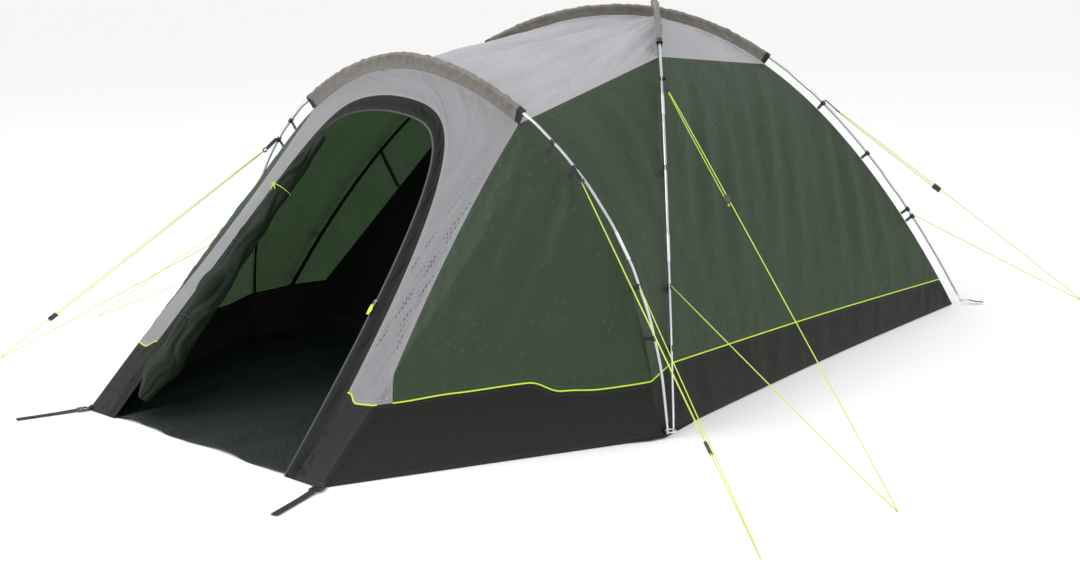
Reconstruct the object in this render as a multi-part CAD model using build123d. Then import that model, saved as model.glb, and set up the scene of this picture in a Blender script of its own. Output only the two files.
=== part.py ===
"""Dome tent for two, pitched, with its porch door open and rolled to the left.

Millimetres. +Z is up, the porch faces -Y, +X is to the right of someone looking in
over the rear of the tent along +Y. The origin is on the ground at the middle of the
tent's plan. Two poles cross at the crown of the dome and a third, the porch hoop,
stands in front of it. The outer tent hangs under the poles and the inner tent hangs
inside the outer one.
"""
from build123d import *
import os
from math import cos, hypot, pi, sin, tan

os.makedirs("parts", exist_ok=True)

# Plan of the tent on the ground
PORCH_DEPTH = 870.0
DOME_LENGTH = 1900.0
FRONT_HALF_WIDTH = 535.0
HOOP_HALF_WIDTH = 930.0
REAR_HALF_WIDTH = 740.0
# Heights and the lean of the hoop
DOME_HEIGHT = 1100.0
HOOP_HEIGHT = 990.0
HOOP_LEAN = 55.0
DOME_BOW, DOME_SHOULDER = 2.1, 0.98
HOOP_BOW, HOOP_SHOULDER = 1.74, 0.44
FOOT_GAP = 12.0
# Poles
POLE_RADIUS = 4.25
POLE_BORE = 3.3
POLE_SECTIONS_DOME = 7
POLE_SECTIONS_HOOP = 6
SECTION_GAP = 0.4
FERRULE_HALF_LENGTH = 40.0
FERRULE_WALL = 0.9
FERRULE_CLEARANCE = 0.05
STIFF_HALF_RUN = 62.0
CROSSING_LIFT = 8.0
SHOCK_CORD_RADIUS = 1.65
# Cloth
CLOTH = 1.0
SEAM_GAP = 38.0
SEAM_TRIM = 0.85
SIDE_SAG = 16.0
HEM_HEIGHT = 12.0
PIPING_HEIGHT_FRONT = 165.0
PIPING_HEIGHT_REAR = 95.0
# Places along the poles, 0 at the crown or hoop top and 1 at the foot
HOOP_SLEEVE_END = 0.505
FRONT_SLEEVE_END = 0.41
REAR_SLEEVE_END = 0.36
HOOP_GUY, FRONT_GUY, REAR_GUY = 0.70, 0.53, 0.50
HOOP_TIE, FRONT_TIE, REAR_TIE = 0.915, 0.82, 0.827
HOOP_HOOKS = (0.62, 0.965)
FRONT_HOOKS = (0.67, 0.925)
REAR_HOOKS = (0.66, 0.76)
CROWN_START = 0.02
# Porch front: the fold from the front peg to the hoop, and the arched doorway
FOLD = 0.6
DOOR_TOP, DOOR_HALF_WIDTH, DOOR_POWER = 0.118, 0.447, 6.45
BORDER_TOP, BORDER_HALF_WIDTH, BORDER_POWER = 0.078, 0.515, 5.3
ARCH_EASE = 2.5
PANEL_SEAM_SPREAD = 0.2
ROLL_RADIUS_TOP, ROLL_RADIUS_BOTTOM = 30.0, 58.0
# Sleeves
SLEEVE_RADIUS = 9.0
TAPE_WIDTH = 18.0
# Inner tent
INNER_GAP_SIDE = 125.0
INNER_GAP_TOP = 85.0
TUB_HEIGHT = 90.0
TUB_WALL = 1.5
INNER_SHOULDER, INNER_CROWN = 0.42, 0.10
FLAP_BOTTOM_WIDTH, FLAP_TOP_WIDTH = 620.0, 480.0
FLAP_MARGIN_BOTTOM, FLAP_MARGIN_TOP = 60.0, 340.0
FLAP_GAP = 0.9
# Fittings
HOOK_LENGTH = 16.0
HOOK_SHARE = 0.38
HOOK_WALL = 2.2
HOOK_CLEARANCE = 0.15
WEB_WIDTH, WEB_THICKNESS = 20.0, 1.4
GUY_RING_REACH = 57.0
GUY_RING_CLEARANCE = 16.0
GUY_RING_RADIUS, GUY_RING_WIRE = 7.5, 2.2
CORD_RADIUS = 1.4
CORD_LANE = 4.0
SLIDER_LENGTH, SLIDER_WIDTH, SLIDER_THICKNESS = 30.0, 19.0, 7.5
SLIDER_BORE = 2.0
PEG_RING_RADIUS, PEG_RING_WIRE = 13.0, 2.0
PIN_RADIUS = 3.0
PIN_INSERT = 32.0
FOOT_LIFT = 42.0

HOOP_Y = -(PORCH_DEPTH + DOME_LENGTH) / 2 + PORCH_DEPTH
FRONT_Y = HOOP_Y - PORCH_DEPTH
REAR_Y = HOOP_Y + DOME_LENGTH
CROSSING = HOOP_HALF_WIDTH / (HOOP_HALF_WIDTH + REAR_HALF_WIDTH)
MIDDLE = Vector(0, (HOOP_Y + REAR_Y) / 2, 150)
FRONT_RIGHT, REAR_LEFT = (1, "front"), (1, "rear")
FRONT_LEFT, REAR_RIGHT = (-1, "front"), (-1, "rear")
LEGS = (FRONT_RIGHT, REAR_RIGHT, REAR_LEFT, FRONT_LEFT)


def save(name, solids):
    """Write one sub-part, a solid or a group of separate solids."""
    solids = solids if isinstance(solids, list) else [solids]
    shape = solids[0] if len(solids) == 1 else Compound(children=solids)
    export_step(shape, f"parts/{name}.step")


# ---- the curves of the three poles -------------------------------------------------
def dome_arch(pole, s, inset=0.0, lift=0.0, drop=None):
    """Point of a dome pole, s from its front foot (0) to its rear foot (1).

    pole is +1 where the front foot is on the right. inset shrinks the arch on all sides,
    and drop is the inset at its top where that differs.
    """
    span = HOOP_HALF_WIDTH + REAR_HALF_WIDTH
    half_chord = hypot(span, DOME_LENGTH) / 2
    shrink = (half_chord - inset) / half_chord
    across = (2 * s - 1) * shrink
    middle_x = pole * (HOOP_HALF_WIDTH - REAR_HALF_WIDTH) / 2
    x = middle_x - pole * across * span / 2
    y = HOOP_Y + FOOT_GAP + DOME_LENGTH / 2 * (1 + across)
    top = DOME_HEIGHT + lift - (inset if drop is None else drop)
    return Vector(x, y, top * (1 - abs(2 * s - 1) ** DOME_BOW) ** DOME_SHOULDER)


def hoop_arch(u, inset=0.0):
    """Point of the porch hoop, u from its left foot (-1) to its right foot (1)."""
    rise = max(1 - abs(u) ** HOOP_BOW, 0.0) ** HOOP_SHOULDER
    z = (HOOP_HEIGHT - inset) * rise
    return Vector((HOOP_HALF_WIDTH - inset) * u, HOOP_Y - FOOT_GAP - HOOP_LEAN * z / HOOP_HEIGHT, z)


def leg_place(leg, w):
    """Share of the dome pole's chord for a place w on a leg, from crown to foot."""
    return CROSSING * (1 - w) if leg[1] == "front" else CROSSING + (1 - CROSSING) * w


def leg_point(leg, w, inset=0.0):
    """Point on a leg of the dome, w from the crossing (0) to the foot (1)."""
    lift = CROSSING_LIFT * leg[0] if inset == 0.0 else 0.0
    return dome_arch(leg[0], leg_place(leg, w), inset, lift)


def leg_at_height(leg, height, inset):
    """The place w on a leg where the arch is at the given height."""
    low, high = 0.3, 1.0
    for _ in range(40):
        middle = (low + high) / 2
        if leg_point(leg, middle, inset).Z > height:
            low = middle
        else:
            high = middle
    return low


def hoop_at_height(height, inset):
    """The place u on the hoop's right leg at the given height."""
    low, high = 0.3, 1.0
    for _ in range(40):
        middle = (low + high) / 2
        if hoop_arch(middle, inset).Z > height:
            low = middle
        else:
            high = middle
    return low


# ---- cloth as closed solids --------------------------------------------------------
def blend(a, b, t):
    return a + (b - a) * t


def spread(start, end, count):
    return [start + (end - start) * i / (count - 1) for i in range(count)]


def trimmed(line, gap):
    """A row of points shortened by the gap at each end."""
    first = line[0] + (line[1] - line[0]).normalized() * gap
    last = line[-1] + (line[-2] - line[-1]).normalized() * gap
    return [first] + line[1:-1] + [last]


def seamed(rows, gap=SEAM_TRIM):
    """A grid of points shortened by the seam's gap on its four sides."""
    rows = [trimmed(row, gap) for row in rows]
    columns = [trimmed(list(column), gap) for column in zip(*rows)]
    return [list(row) for row in zip(*columns)]


def facets(corners):
    """Triangles of a grid of quads, wound one way."""
    found = []
    for top, bottom in zip(corners, corners[1:]):
        for i in range(len(top) - 1):
            found.append((top[i], bottom[i], bottom[i + 1]))
            found.append((top[i], bottom[i + 1], top[i + 1]))
    return found


def sheet(rows, thickness=CLOTH, toward=MIDDLE):
    """Closed solid of cloth: the grid, and the same grid moved by the thickness.

    Each point moves along the surface's normal there, to the side of the point `toward`.
    """
    last_row, last_column = len(rows) - 1, len(rows[0]) - 1
    centre = rows[last_row // 2][last_column // 2]

    def normal(i, j):
        down = rows[min(i + 1, last_row)][j] - rows[max(i - 1, 0)][j]
        along = rows[i][min(j + 1, last_column)] - rows[i][max(j - 1, 0)]
        return down.cross(along).normalized()

    side = normal(last_row // 2, last_column // 2)
    sense = 1 if side.dot(toward - centre) > 0 else -1
    back = [
        [rows[i][j] + normal(i, j) * (sense * thickness) for j in range(last_column + 1)]
        for i in range(last_row + 1)
    ]
    edge = rows[0] + [row[-1] for row in rows[1:]] + rows[-1][-2::-1]
    edge += [row[0] for row in rows[-2:0:-1]]
    back_edge = back[0] + [row[-1] for row in back[1:]] + back[-1][-2::-1]
    back_edge += [row[0] for row in back[-2:0:-1]]
    triangles = facets(rows) + [t[::-1] for t in facets(back)]
    triangles += facets([back_edge + back_edge[:1], edge + edge[:1]])
    faces = [Face(Wire.make_polygon(list(t), close=True)) for t in triangles]
    solid = Solid(Shell(faces))
    return solid if solid.volume > 0 else Solid(Shell([-f for f in faces]))


def ribbon(line, width, thickness, across):
    """A flat strap along a row of points; across is the direction of its width."""
    half = across.normalized() * (width / 2)
    return sheet([[p - half, p + half] for p in line], thickness, line[0] + Vector(0, 0, 1000))


def bar(start, end, width, thickness, across):
    """A straight flat bar from start to end, its width along `across`."""
    plane = Plane(origin=start, x_dir=across, z_dir=end - start)
    return extrude(plane * Rectangle(width, thickness), (end - start).length)


# ---- tubes along straight runs and tangent arcs ------------------------------------
def corner_radii(points, share):
    """Arc radius for each inner point: a share of the shorter run beside it."""
    radii = []
    for before, here, after in zip(points, points[1:], points[2:]):
        turn = (here - before).get_angle(after - here) * pi / 180
        radii.append(share * min((here - before).length, (after - here).length) / tan(turn / 2))
    return radii


def tube(points, radii, outer, bore=0.0):
    """A round tube, or a rod without a bore, along the points with an arc at each."""
    path = FilletPolyline(*points, radius=radii) if len(points) > 2 else Line(*points)
    section = Circle(outer) - Circle(bore) if bore else Circle(outer)
    plane = Plane(origin=points[0], z_dir=points[1] - points[0])
    return sweep(plane * section, path=path)


def measured(curve, samples=600):
    """The curve as points with their distances along it."""
    points = [curve(i / samples) for i in range(samples + 1)]
    reach = [0.0]
    for a, b in zip(points, points[1:]):
        reach.append(reach[-1] + (b - a).length)
    return points, reach


def at_distance(points, reach, distance):
    """The point of a measured curve at a distance along it."""
    i = max(k for k in range(len(reach) - 1) if reach[k] <= distance)
    return blend(points[i], points[i + 1], (distance - reach[i]) / (reach[i + 1] - reach[i]))


def pole_runs(curve, sections):
    """Bend points of each section of a pole, with a straight run across each joint."""
    points, reach = measured(curve)
    usable = reach[-1] - 2 * FOOT_LIFT
    length = usable / sections
    bends = []
    for k in range(sections):
        start = FOOT_LIFT + k * length + (STIFF_HALF_RUN if k else 0.0)
        end = FOOT_LIFT + (k + 1) * length - (STIFF_HALF_RUN if k < sections - 1 else 0.0)
        bends.append([at_distance(points, reach, d) for d in spread(start, end, 4)])
    joints = [(a[-1] + b[0]) / 2 for a, b in zip(bends, bends[1:])]
    runs = []
    for k, inner in enumerate(bends):
        head = [joints[k - 1]] if k else []
        tail = [joints[k]] if k < sections - 1 else []
        runs.append(head + inner + tail)
    return runs


def make_pole(name, curve, sections):
    """One shock-corded pole: its sections, the ferrules over the joints and the cord."""
    runs = pole_runs(curve, sections)
    tubes = []
    for k, run in enumerate(runs):
        cut = trimmed(run, SECTION_GAP / 2)
        tubes.append(tube(cut, corner_radii(run, 0.3), POLE_RADIUS, POLE_BORE))
    save(name, tubes)
    ferrules = []
    inner = POLE_RADIUS + FERRULE_CLEARANCE
    for run in runs[1:]:
        along = (run[1] - run[0]).normalized()
        plane = Plane(origin=run[0] - along * FERRULE_HALF_LENGTH, z_dir=along)
        ring = Circle(inner + FERRULE_WALL) - Circle(inner)
        ferrules.append(extrude(plane * ring, 2 * FERRULE_HALF_LENGTH))
    spine = [p for run in runs for p in run[(1 if run is not runs[0] else 0):]]
    joints = [run[0] for run in runs[1:]]
    spine = [p for p in spine if all((p - j).length > 1 for j in joints)]
    cord_line = trimmed(spine, PIN_INSERT + 8)
    cord = tube(cord_line, corner_radii(cord_line, 0.3), SHOCK_CORD_RADIUS)
    return runs, ferrules, cord


def seat(runs, target):
    """Place for a hook near the target, in the straight middle of a run without a joint."""
    best = None
    for k, run in enumerate(runs):
        inner = run[(1 if k else 0):(-1 if k < len(runs) - 1 else None)]
        for a, b in zip(inner, inner[1:]):
            share = (target - a).dot(b - a) / (b - a).dot(b - a)
            point = blend(a, b, min(max(share, HOOK_SHARE), 1 - HOOK_SHARE))
            if best is None or (point - target).length < (best[0] - target).length:
                best = (point, (b - a).normalized())
    return best


hoop_curve = lambda t: hoop_arch(2 * t - 1)
right_curve = lambda t: dome_arch(1, t, lift=CROSSING_LIFT)
left_curve = lambda t: dome_arch(-1, t, lift=-CROSSING_LIFT)
hoop_set = make_pole("porch_pole", hoop_curve, POLE_SECTIONS_HOOP)
right_set = make_pole("dome_pole_right", right_curve, POLE_SECTIONS_DOME)
left_set = make_pole("dome_pole_left", left_curve, POLE_SECTIONS_DOME)
save("pole_ferrules", hoop_set[1] + right_set[1] + left_set[1])
save("pole_shock_cords", [hoop_set[2], right_set[2], left_set[2]])


# ---- outer tent --------------------------------------------------------------------
def seam(leg, w):
    return leg_point(leg, w, SEAM_GAP)


def hoop_seam(u):
    return hoop_arch(u, SEAM_GAP)


def seam_end(leg, height):
    return leg_at_height(leg, height, SEAM_GAP)


def piping_place(leg):
    """Where the lime piping crosses a leg: higher at the front than at the rear."""
    height = PIPING_HEIGHT_FRONT if leg[1] == "front" else PIPING_HEIGHT_REAR
    return seam_end(leg, height)


def sleeve_end(leg):
    return FRONT_SLEEVE_END if leg[1] == "front" else REAR_SLEEVE_END


def dome_face(leg_a, leg_b, places, columns=7):
    """Grid of cloth between two legs, pulled in a little between them."""
    rows = []
    for place_a, place_b in places:
        a, b = seam(leg_a, place_a), seam(leg_b, place_b)
        row = []
        for c in spread(0, 1, columns):
            point = blend(a, b, c)
            inward = Vector(MIDDLE.X - point.X, MIDDLE.Y - point.Y, 0).normalized()
            sag = SIDE_SAG * 4 * c * (1 - c) * min(1.0, (b - a).length / DOME_LENGTH)
            row.append(point + inward * sag)
        rows.append(row)
    return rows


def steps(start_a, end_a, start_b, end_b, count):
    return list(zip(spread(start_a, end_a, count), spread(start_b, end_b, count)))


FACES = {
    "right": (FRONT_RIGHT, REAR_RIGHT),
    "left": (REAR_LEFT, FRONT_LEFT),
    "rear": (REAR_RIGHT, REAR_LEFT),
}
CAP_ROWS, WALL_ROWS, MUD_ROWS = 7, 10, 3


def cap_places(leg):
    return [CROWN_START] + spread(0, sleeve_end(leg), CAP_ROWS)[1:]


def wall_places(leg):
    return spread(sleeve_end(leg), piping_place(leg), WALL_ROWS)


def mud_places(leg):
    return spread(piping_place(leg), seam_end(leg, HEM_HEIGHT), MUD_ROWS)


def pairs(places, leg_a, leg_b):
    return list(zip(places(leg_a), places(leg_b)))


cap_panels, mud_faces, piping_lines = [], {}, []
for name, legs in FACES.items():
    cap = dome_face(*legs, pairs(cap_places, *legs))
    wall = dome_face(*legs, pairs(wall_places, *legs))
    mud = dome_face(*legs, pairs(mud_places, *legs))
    cap_panels.append(sheet(seamed(cap)))
    save("rear_panel" if name == "rear" else f"dome_side_panel_{name}", sheet(seamed(wall)))
    mud_faces[name] = [sheet(seamed(mud))]
    piping_lines.append((wall[-1], wall[-2]))
save("roof_cap_panels", cap_panels)
save("mud_wall_rear", mud_faces["rear"])


def front_leg(side):
    return FRONT_RIGHT if side > 0 else FRONT_LEFT


roof_rows = []
for k in range(-CAP_ROWS + 1, CAP_ROWS):
    share = k / (CAP_ROWS - 1)
    far = seam(front_leg(k), abs(share) * FRONT_SLEEVE_END)
    near = hoop_seam(share * HOOP_SLEEVE_END)
    roof_rows.append([blend(near, far, q) for q in spread(0, 1, 6)])
save("roof_front_panel", sheet(seamed(roof_rows)))

HOOP_LAST_HEIGHT = PIPING_HEIGHT_FRONT + 15
hoop_heights = spread(hoop_seam(HOOP_SLEEVE_END).Z, HOOP_LAST_HEIGHT, WALL_ROWS - 1)
hoop_places = [hoop_at_height(h, SEAM_GAP) for h in hoop_heights + [PIPING_HEIGHT_FRONT]]
hoop_mud_places = [
    hoop_at_height(h, SEAM_GAP) for h in spread(PIPING_HEIGHT_FRONT, HEM_HEIGHT, MUD_ROWS)
]


def gusset(side, hoop_rows, leg_rows):
    """Grid between the hoop's leg and the dome's front leg."""
    rows = []
    for u, w in zip(hoop_rows, leg_rows):
        a, b = hoop_seam(side * u), seam(front_leg(side), w)
        rows.append([blend(a, b, q) for q in spread(0, 1, 5)])
    return rows


for side, name in ((1, "right"), (-1, "left")):
    leg = front_leg(side)
    panel = gusset(side, hoop_places, wall_places(leg))
    save(f"hoop_gusset_panel_{name}", sheet(seamed(panel)))
    mud_faces[name].append(sheet(seamed(gusset(side, hoop_mud_places, mud_places(leg)))))
    save(f"mud_wall_side_{name}", mud_faces[name])
    piping_lines.append((panel[-1], panel[-2]))


# ---- porch front -------------------------------------------------------------------
def porch(u, v):
    """Cloth of the porch: straight from the hoop's seam (v 0) to the ground's outline (v 1).

    The outline runs along the front edge up to the fold and then back to the hoop's foot.
    """
    a, side = abs(u), 1 if u > 0 else -1
    beyond = max(a - FOLD, 0) / (1 - FOLD)
    x = FRONT_HALF_WIDTH * min(a / FOLD, 1) + (HOOP_HALF_WIDTH - FRONT_HALF_WIDTH) * beyond
    y = FRONT_Y + (HOOP_Y - FOOT_GAP - FRONT_Y) * beyond
    return blend(hoop_seam(u), Vector(side * x, y, 0), v)


def porch_at_height(u, height):
    """The v on the porch cloth that lies at a height."""
    return max(0.0, 1 - height / hoop_seam(u).Z)


def arch_edge(part, top, half_width, power):
    """(u, v) on the doorway's arch, part from -1 (left foot) to 1 (right foot)."""
    side = 1 if part > 0 else -1
    u = half_width * abs(part) ** (ARCH_EASE / power) * side
    return u, top + (1 - top) * abs(part) ** ARCH_EASE


def arch_part(v, top):
    return ((v - top) / (1 - top)) ** (1 / ARCH_EASE)


def door_edge(part, inset=0.0):
    """Inner edge of the door's border, moved into the doorway by inset millimetres."""
    top = DOOR_TOP + inset / PORCH_SLOPE
    return arch_edge(part, top, DOOR_HALF_WIDTH - inset / FRONT_SCALE, DOOR_POWER)


def border_edge(part):
    return arch_edge(part, BORDER_TOP, BORDER_HALF_WIDTH, BORDER_POWER)


def between(edge_a, edge_b, count):
    """Row of porch points between two (u, v) places."""
    across, down = edge_b[0] - edge_a[0], edge_b[1] - edge_a[1]
    return [porch(edge_a[0] + across * t, edge_a[1] + down * t) for t in spread(0, 1, count)]


def panel_seam(v):
    """u of the seam between the grey arch and the green side of the porch."""
    return HOOP_SLEEVE_END + PANEL_SEAM_SPREAD * v**2


FRONT_SCALE = FRONT_HALF_WIDTH / FOLD
PORCH_SLOPE = hypot(PORCH_DEPTH, HOOP_HEIGHT)
SEAM_STEPS, HOOP_STEPS = 7, 8
seam_foot = 0.75
for _ in range(30):
    seam_foot = porch_at_height(panel_seam(seam_foot), PIPING_HEIGHT_FRONT)
border_foot = arch_part(porch_at_height(BORDER_HALF_WIDTH, PIPING_HEIGHT_FRONT), BORDER_TOP)
arch_rows = []
for k in range(-SEAM_STEPS - HOOP_STEPS, SEAM_STEPS + HOOP_STEPS + 1):
    side = 1 if k > 0 else -1
    down = max(abs(k) - HOOP_STEPS, 0) / SEAM_STEPS * seam_foot
    outer_u = side * panel_seam(down) if down else k / HOOP_STEPS * HOOP_SLEEVE_END
    part = k / (SEAM_STEPS + HOOP_STEPS) * border_foot
    arch_rows.append(between((outer_u, down), border_edge(part), 4))
save("porch_arch_panel", sheet(seamed(arch_rows)))

hem_part = arch_part(porch_at_height(DOOR_HALF_WIDTH, HEM_HEIGHT), DOOR_TOP)
door_parts = spread(-hem_part, hem_part, 33)
band_rows = [between(border_edge(part), door_edge(part), 3) for part in door_parts]
save("door_border", sheet(seamed(band_rows)))

MUD_END = 0.994
side_shares = [
    (u - hoop_places[0]) / (hoop_places[-2] - hoop_places[0]) for u in hoop_places[:-1]
]


def side_place(v, share):
    """u on the side of the porch, from the arch's seam (0) to the last column (1)."""
    start = panel_seam(v)
    return start + (hoop_places[-2] - start) * share


low_places = [side_place(seam_foot, share) for share in side_shares]
for side, name in ((1, "right"), (-1, "left")):
    rows = []
    for t in spread(0, 1, SEAM_STEPS + 1):
        row = []
        for share, u_low in zip(side_shares, low_places):
            low = porch_at_height(u_low, PIPING_HEIGHT_FRONT)
            row.append(porch(side * side_place(seam_foot * t, share), low * t))
        rows.append(row)
    save(f"porch_side_panel_{name}", sheet(seamed(rows)))
    piping_lines.append((rows[-1], rows[-2]))
    front_grid, side_grid = [], []
    for height in spread(PIPING_HEIGHT_FRONT, HEM_HEIGHT, 4):
        beside = border_edge(arch_part(porch_at_height(BORDER_HALF_WIDTH, height), BORDER_TOP))[0]
        front = spread(beside, FOLD, 3)
        along = [FOLD] + low_places + [MUD_END]
        front_grid.append([porch(side * u, porch_at_height(u, height)) for u in front])
        side_grid.append([porch(side * u, porch_at_height(u, height)) for u in along])
    save(f"mud_wall_porch_{name}", [sheet(seamed(front_grid)), sheet(seamed(side_grid))])
    above = [blend(top, low, -1) for top, low in zip(front_grid[0], front_grid[1])]
    piping_lines.append((front_grid[0], above))


# ---- trims on the outer tent -------------------------------------------------------
PIPING_WIDTH, PIPING_THICKNESS, TRIM_CLEARANCE = 3.0, 1.0, 0.35


def edging(line, above, width, thickness):
    """A narrow strip on the outside of the cloth along one of its lines."""
    rows = []
    for i, point in enumerate(line):
        along = line[min(i + 1, len(line) - 1)] - line[max(i - 1, 0)]
        up = (above[i] - point).normalized()
        out = along.cross(up).normalized()
        out = out if out.dot(point - MIDDLE) > 0 else -out
        base = point + out * TRIM_CLEARANCE
        rows.append([base + up * (width / 2), base - up * (width / 2)])
    centre = line[len(line) // 2]
    return sheet(rows, thickness, centre + (centre - MIDDLE) * 10)


piping = []
for line, above in piping_lines:
    piping.append(edging(trimmed(line, 3), above, PIPING_WIDTH, PIPING_THICKNESS))
save("hem_piping", piping)


def sleeve_rows(pole_points, seam_points):
    """A strip of cloth folded over a pole, with both edges on the seam below it."""
    rows = []
    last = len(pole_points) - 1
    for i, (point, foot) in enumerate(zip(pole_points, seam_points)):
        up = (point - foot).normalized()
        along = pole_points[min(i + 1, last)] - pole_points[max(i - 1, 0)]
        across = along.cross(up).normalized()
        r = SLEEVE_RADIUS
        drop = (point - foot).length - CLOTH
        profile = [(-drop, 2.0), (-drop * 0.5, 4.5), (0, r), (r * 0.7, r * 0.7), (r, 0)]
        profile += [(h, -w) for h, w in profile[-2::-1]]
        rows.append([point + up * h + across * w for h, w in profile])
    return rows


def leg_curve(leg, places):
    return [leg_point(leg, w) for w in places], [seam(leg, w) for w in places]


tapes = []


def make_sleeve(name, pieces):
    """A sleeve of one or two pieces, with a black tape around each outer end."""
    solids = []
    for pole_points, seam_points, ends in pieces:
        rows = sleeve_rows(pole_points, seam_points)
        inside = blend(pole_points[len(pole_points) // 2], seam_points[len(pole_points) // 2], 0.3)
        taped = []
        if ends[0]:
            start = TAPE_WIDTH / (pole_points[0] - pole_points[1]).length
            middle_row = [blend(a, b, start) for a, b in zip(rows[0], rows[1])]
            taped.append([rows[0], middle_row])
            rows[0] = [blend(a, b, start + 0.01) for a, b in zip(rows[0], rows[1])]
        if ends[1]:
            end = TAPE_WIDTH / (pole_points[-1] - pole_points[-2]).length
            middle_row = [blend(a, b, end) for a, b in zip(rows[-1], rows[-2])]
            taped.append([middle_row, rows[-1]])
            rows[-1] = [blend(a, b, end + 0.01) for a, b in zip(rows[-1], rows[-2])]
        solids.append(sheet(rows, CLOTH, inside))
        tapes.extend(sheet(pair, CLOTH, inside) for pair in taped)
    save(name, solids)


hoop_sleeve_places = [k / HOOP_STEPS * HOOP_SLEEVE_END for k in range(-HOOP_STEPS, HOOP_STEPS + 1)]
hoop_line = [hoop_arch(u) for u in hoop_sleeve_places]
make_sleeve("porch_sleeve", [(hoop_line, [hoop_seam(u) for u in hoop_sleeve_places], (True, True))])


def joined_legs(leg_a, leg_b):
    """Pole and seam points from the sleeve's end on one leg over the crown to the other's."""
    a, b = leg_curve(leg_a, spread(0, sleeve_end(leg_a), CAP_ROWS)[::-1])
    c, d = leg_curve(leg_b, spread(0, sleeve_end(leg_b), CAP_ROWS)[1:])
    return a + c, b + d


lower = joined_legs(FRONT_LEFT, REAR_RIGHT)
make_sleeve("dome_sleeve_left", [(lower[0], lower[1], (True, True))])
SLEEVE_BREAK = 0.03
upper_pieces = []
for leg in (FRONT_RIGHT, REAR_LEFT):
    places = [SLEEVE_BREAK] + spread(0, sleeve_end(leg), CAP_ROWS)[1:]
    upper_pieces.append((*leg_curve(leg, places), (False, True)))
make_sleeve("dome_sleeve_right", upper_pieces)
save("sleeve_end_tapes", tapes)

# ---- door: zip, its slider, the rolled door and its ties ---------------------------
ZIP_WIDTH, ZIP_THICKNESS, ZIP_EDGE = 6.0, 1.6, 0.1
ZIP_PARK, ZIP_LOW, ZIP_START = 0.555, 0.80, 12
zip_rows = []
for part in door_parts[ZIP_START:]:
    zip_rows.append([porch(*door_edge(part, ZIP_EDGE)), porch(*door_edge(part, ZIP_EDGE + ZIP_WIDTH))])
save("door_zip", sheet(zip_rows, ZIP_THICKNESS))

SLIDER_PLATE, ZIP_CLEARANCE = 1.6, 0.85


def zip_place(v):
    inset = ZIP_EDGE + ZIP_WIDTH / 2
    return porch(*door_edge(arch_part(v, DOOR_TOP), inset))


park, low = zip_place(ZIP_PARK), zip_place(ZIP_LOW)
zip_run = (low - park).normalized()
inwards = porch(*door_edge(arch_part(ZIP_PARK, DOOR_TOP), 40)) - park
zip_out = zip_run.cross(inwards).normalized()
zip_out = zip_out if zip_out.Y < 0 else -zip_out
zip_in = zip_run.cross(zip_out).normalized()
zip_in = zip_in if zip_in.dot(inwards) > 0 else -zip_in
zip_plane = Plane(origin=park - zip_out * (ZIP_THICKNESS / 2), x_dir=zip_in, z_dir=zip_run)
channel_wide = ZIP_WIDTH + 2 * ZIP_CLEARANCE
channel_high = ZIP_THICKNESS + 2 * ZIP_CLEARANCE
shell = Rectangle(channel_wide + 2 * SLIDER_PLATE, channel_high + 2 * SLIDER_PLATE)
shell -= Pos(-SLIDER_PLATE, 0) * Rectangle(channel_wide + 2 * SLIDER_PLATE, channel_high)
zip_body = extrude(zip_plane * shell, 14.0)
pull_top = park + zip_out * (channel_high / 2 + SLIDER_PLATE / 2) + zip_run * 7
pull_plane = Plane(origin=pull_top + zip_run * 14, x_dir=zip_run, z_dir=zip_out)
pull_loop = SlotOverall(34, 9) - SlotOverall(30.4, 5.4)
zip_pull = extrude(pull_plane * pull_loop, 2.0)
save("door_zip_slider", zip_body + zip_pull)

# The door rolled up along its left edge
TIE_WIRE, TIE_CLEARANCE = 1.3, 0.8
TIE_REACH = TIE_CLEARANCE + 2 * TIE_WIRE + 4.1
ROLL_TOP, ROLL_FOOT = 0.15, 0.93


def roll_section(v):
    """Centre and radius of the rolled door at a height on the porch cloth."""
    t = (v - ROLL_TOP) / (ROLL_FOOT - ROLL_TOP)
    radius = ROLL_RADIUS_TOP + (ROLL_RADIUS_BOTTOM - ROLL_RADIUS_TOP) * t
    part = -arch_part(v, DOOR_TOP)
    u, v = door_edge(part, radius + TIE_REACH)
    return porch(u, v), radius


def ring_of(centre, along, radius, count=12):
    plane = Plane(origin=centre, x_dir=along.cross(Vector(0, 0, 1)), z_dir=along)
    turns = [2 * pi * i / count for i in range(count)]
    return [plane.from_local_coords(Vector(radius * cos(a), radius * sin(a), 0)) for a in turns]


def plump(rings):
    """Closed solid through a row of closed outlines with flat ends."""
    closed = [ring + ring[:1] for ring in rings]
    faces = [Face(Wire.make_polygon(list(t), close=True)) for t in facets(closed)]
    faces.append(Face(Wire.make_polygon(rings[0], close=True)))
    faces.append(Face(Wire.make_polygon(rings[-1][::-1], close=True)))
    solid = Solid(Shell(faces))
    return solid if solid.volume > 0 else Solid(Shell([-f for f in faces]))


roll_places = spread(ROLL_TOP, ROLL_FOOT, 10)
roll_line = [roll_section(v) for v in roll_places]
roll_rings = []
for i, (centre, radius) in enumerate(roll_line):
    along = roll_line[min(i + 1, 9)][0] - roll_line[max(i - 1, 0)][0]
    roll_rings.append(ring_of(centre, along, radius))
save("rolled_door", plump(roll_rings))
ties = []
for v in (0.30, 0.47, 0.70):
    centre, radius = roll_section(v)
    along = roll_section(v + 0.01)[0] - roll_section(v - 0.01)[0]
    tie = Torus(radius + TIE_CLEARANCE + TIE_WIRE, TIE_WIRE)
    ties.append(Plane(origin=centre, z_dir=along).location * tie)
save("door_ties", ties)

# ---- inner tent --------------------------------------------------------------------
def inner_arch(leg, w):
    return dome_arch(leg[0], leg_place(leg, w), INNER_GAP_SIDE, drop=INNER_GAP_TOP)


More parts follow.
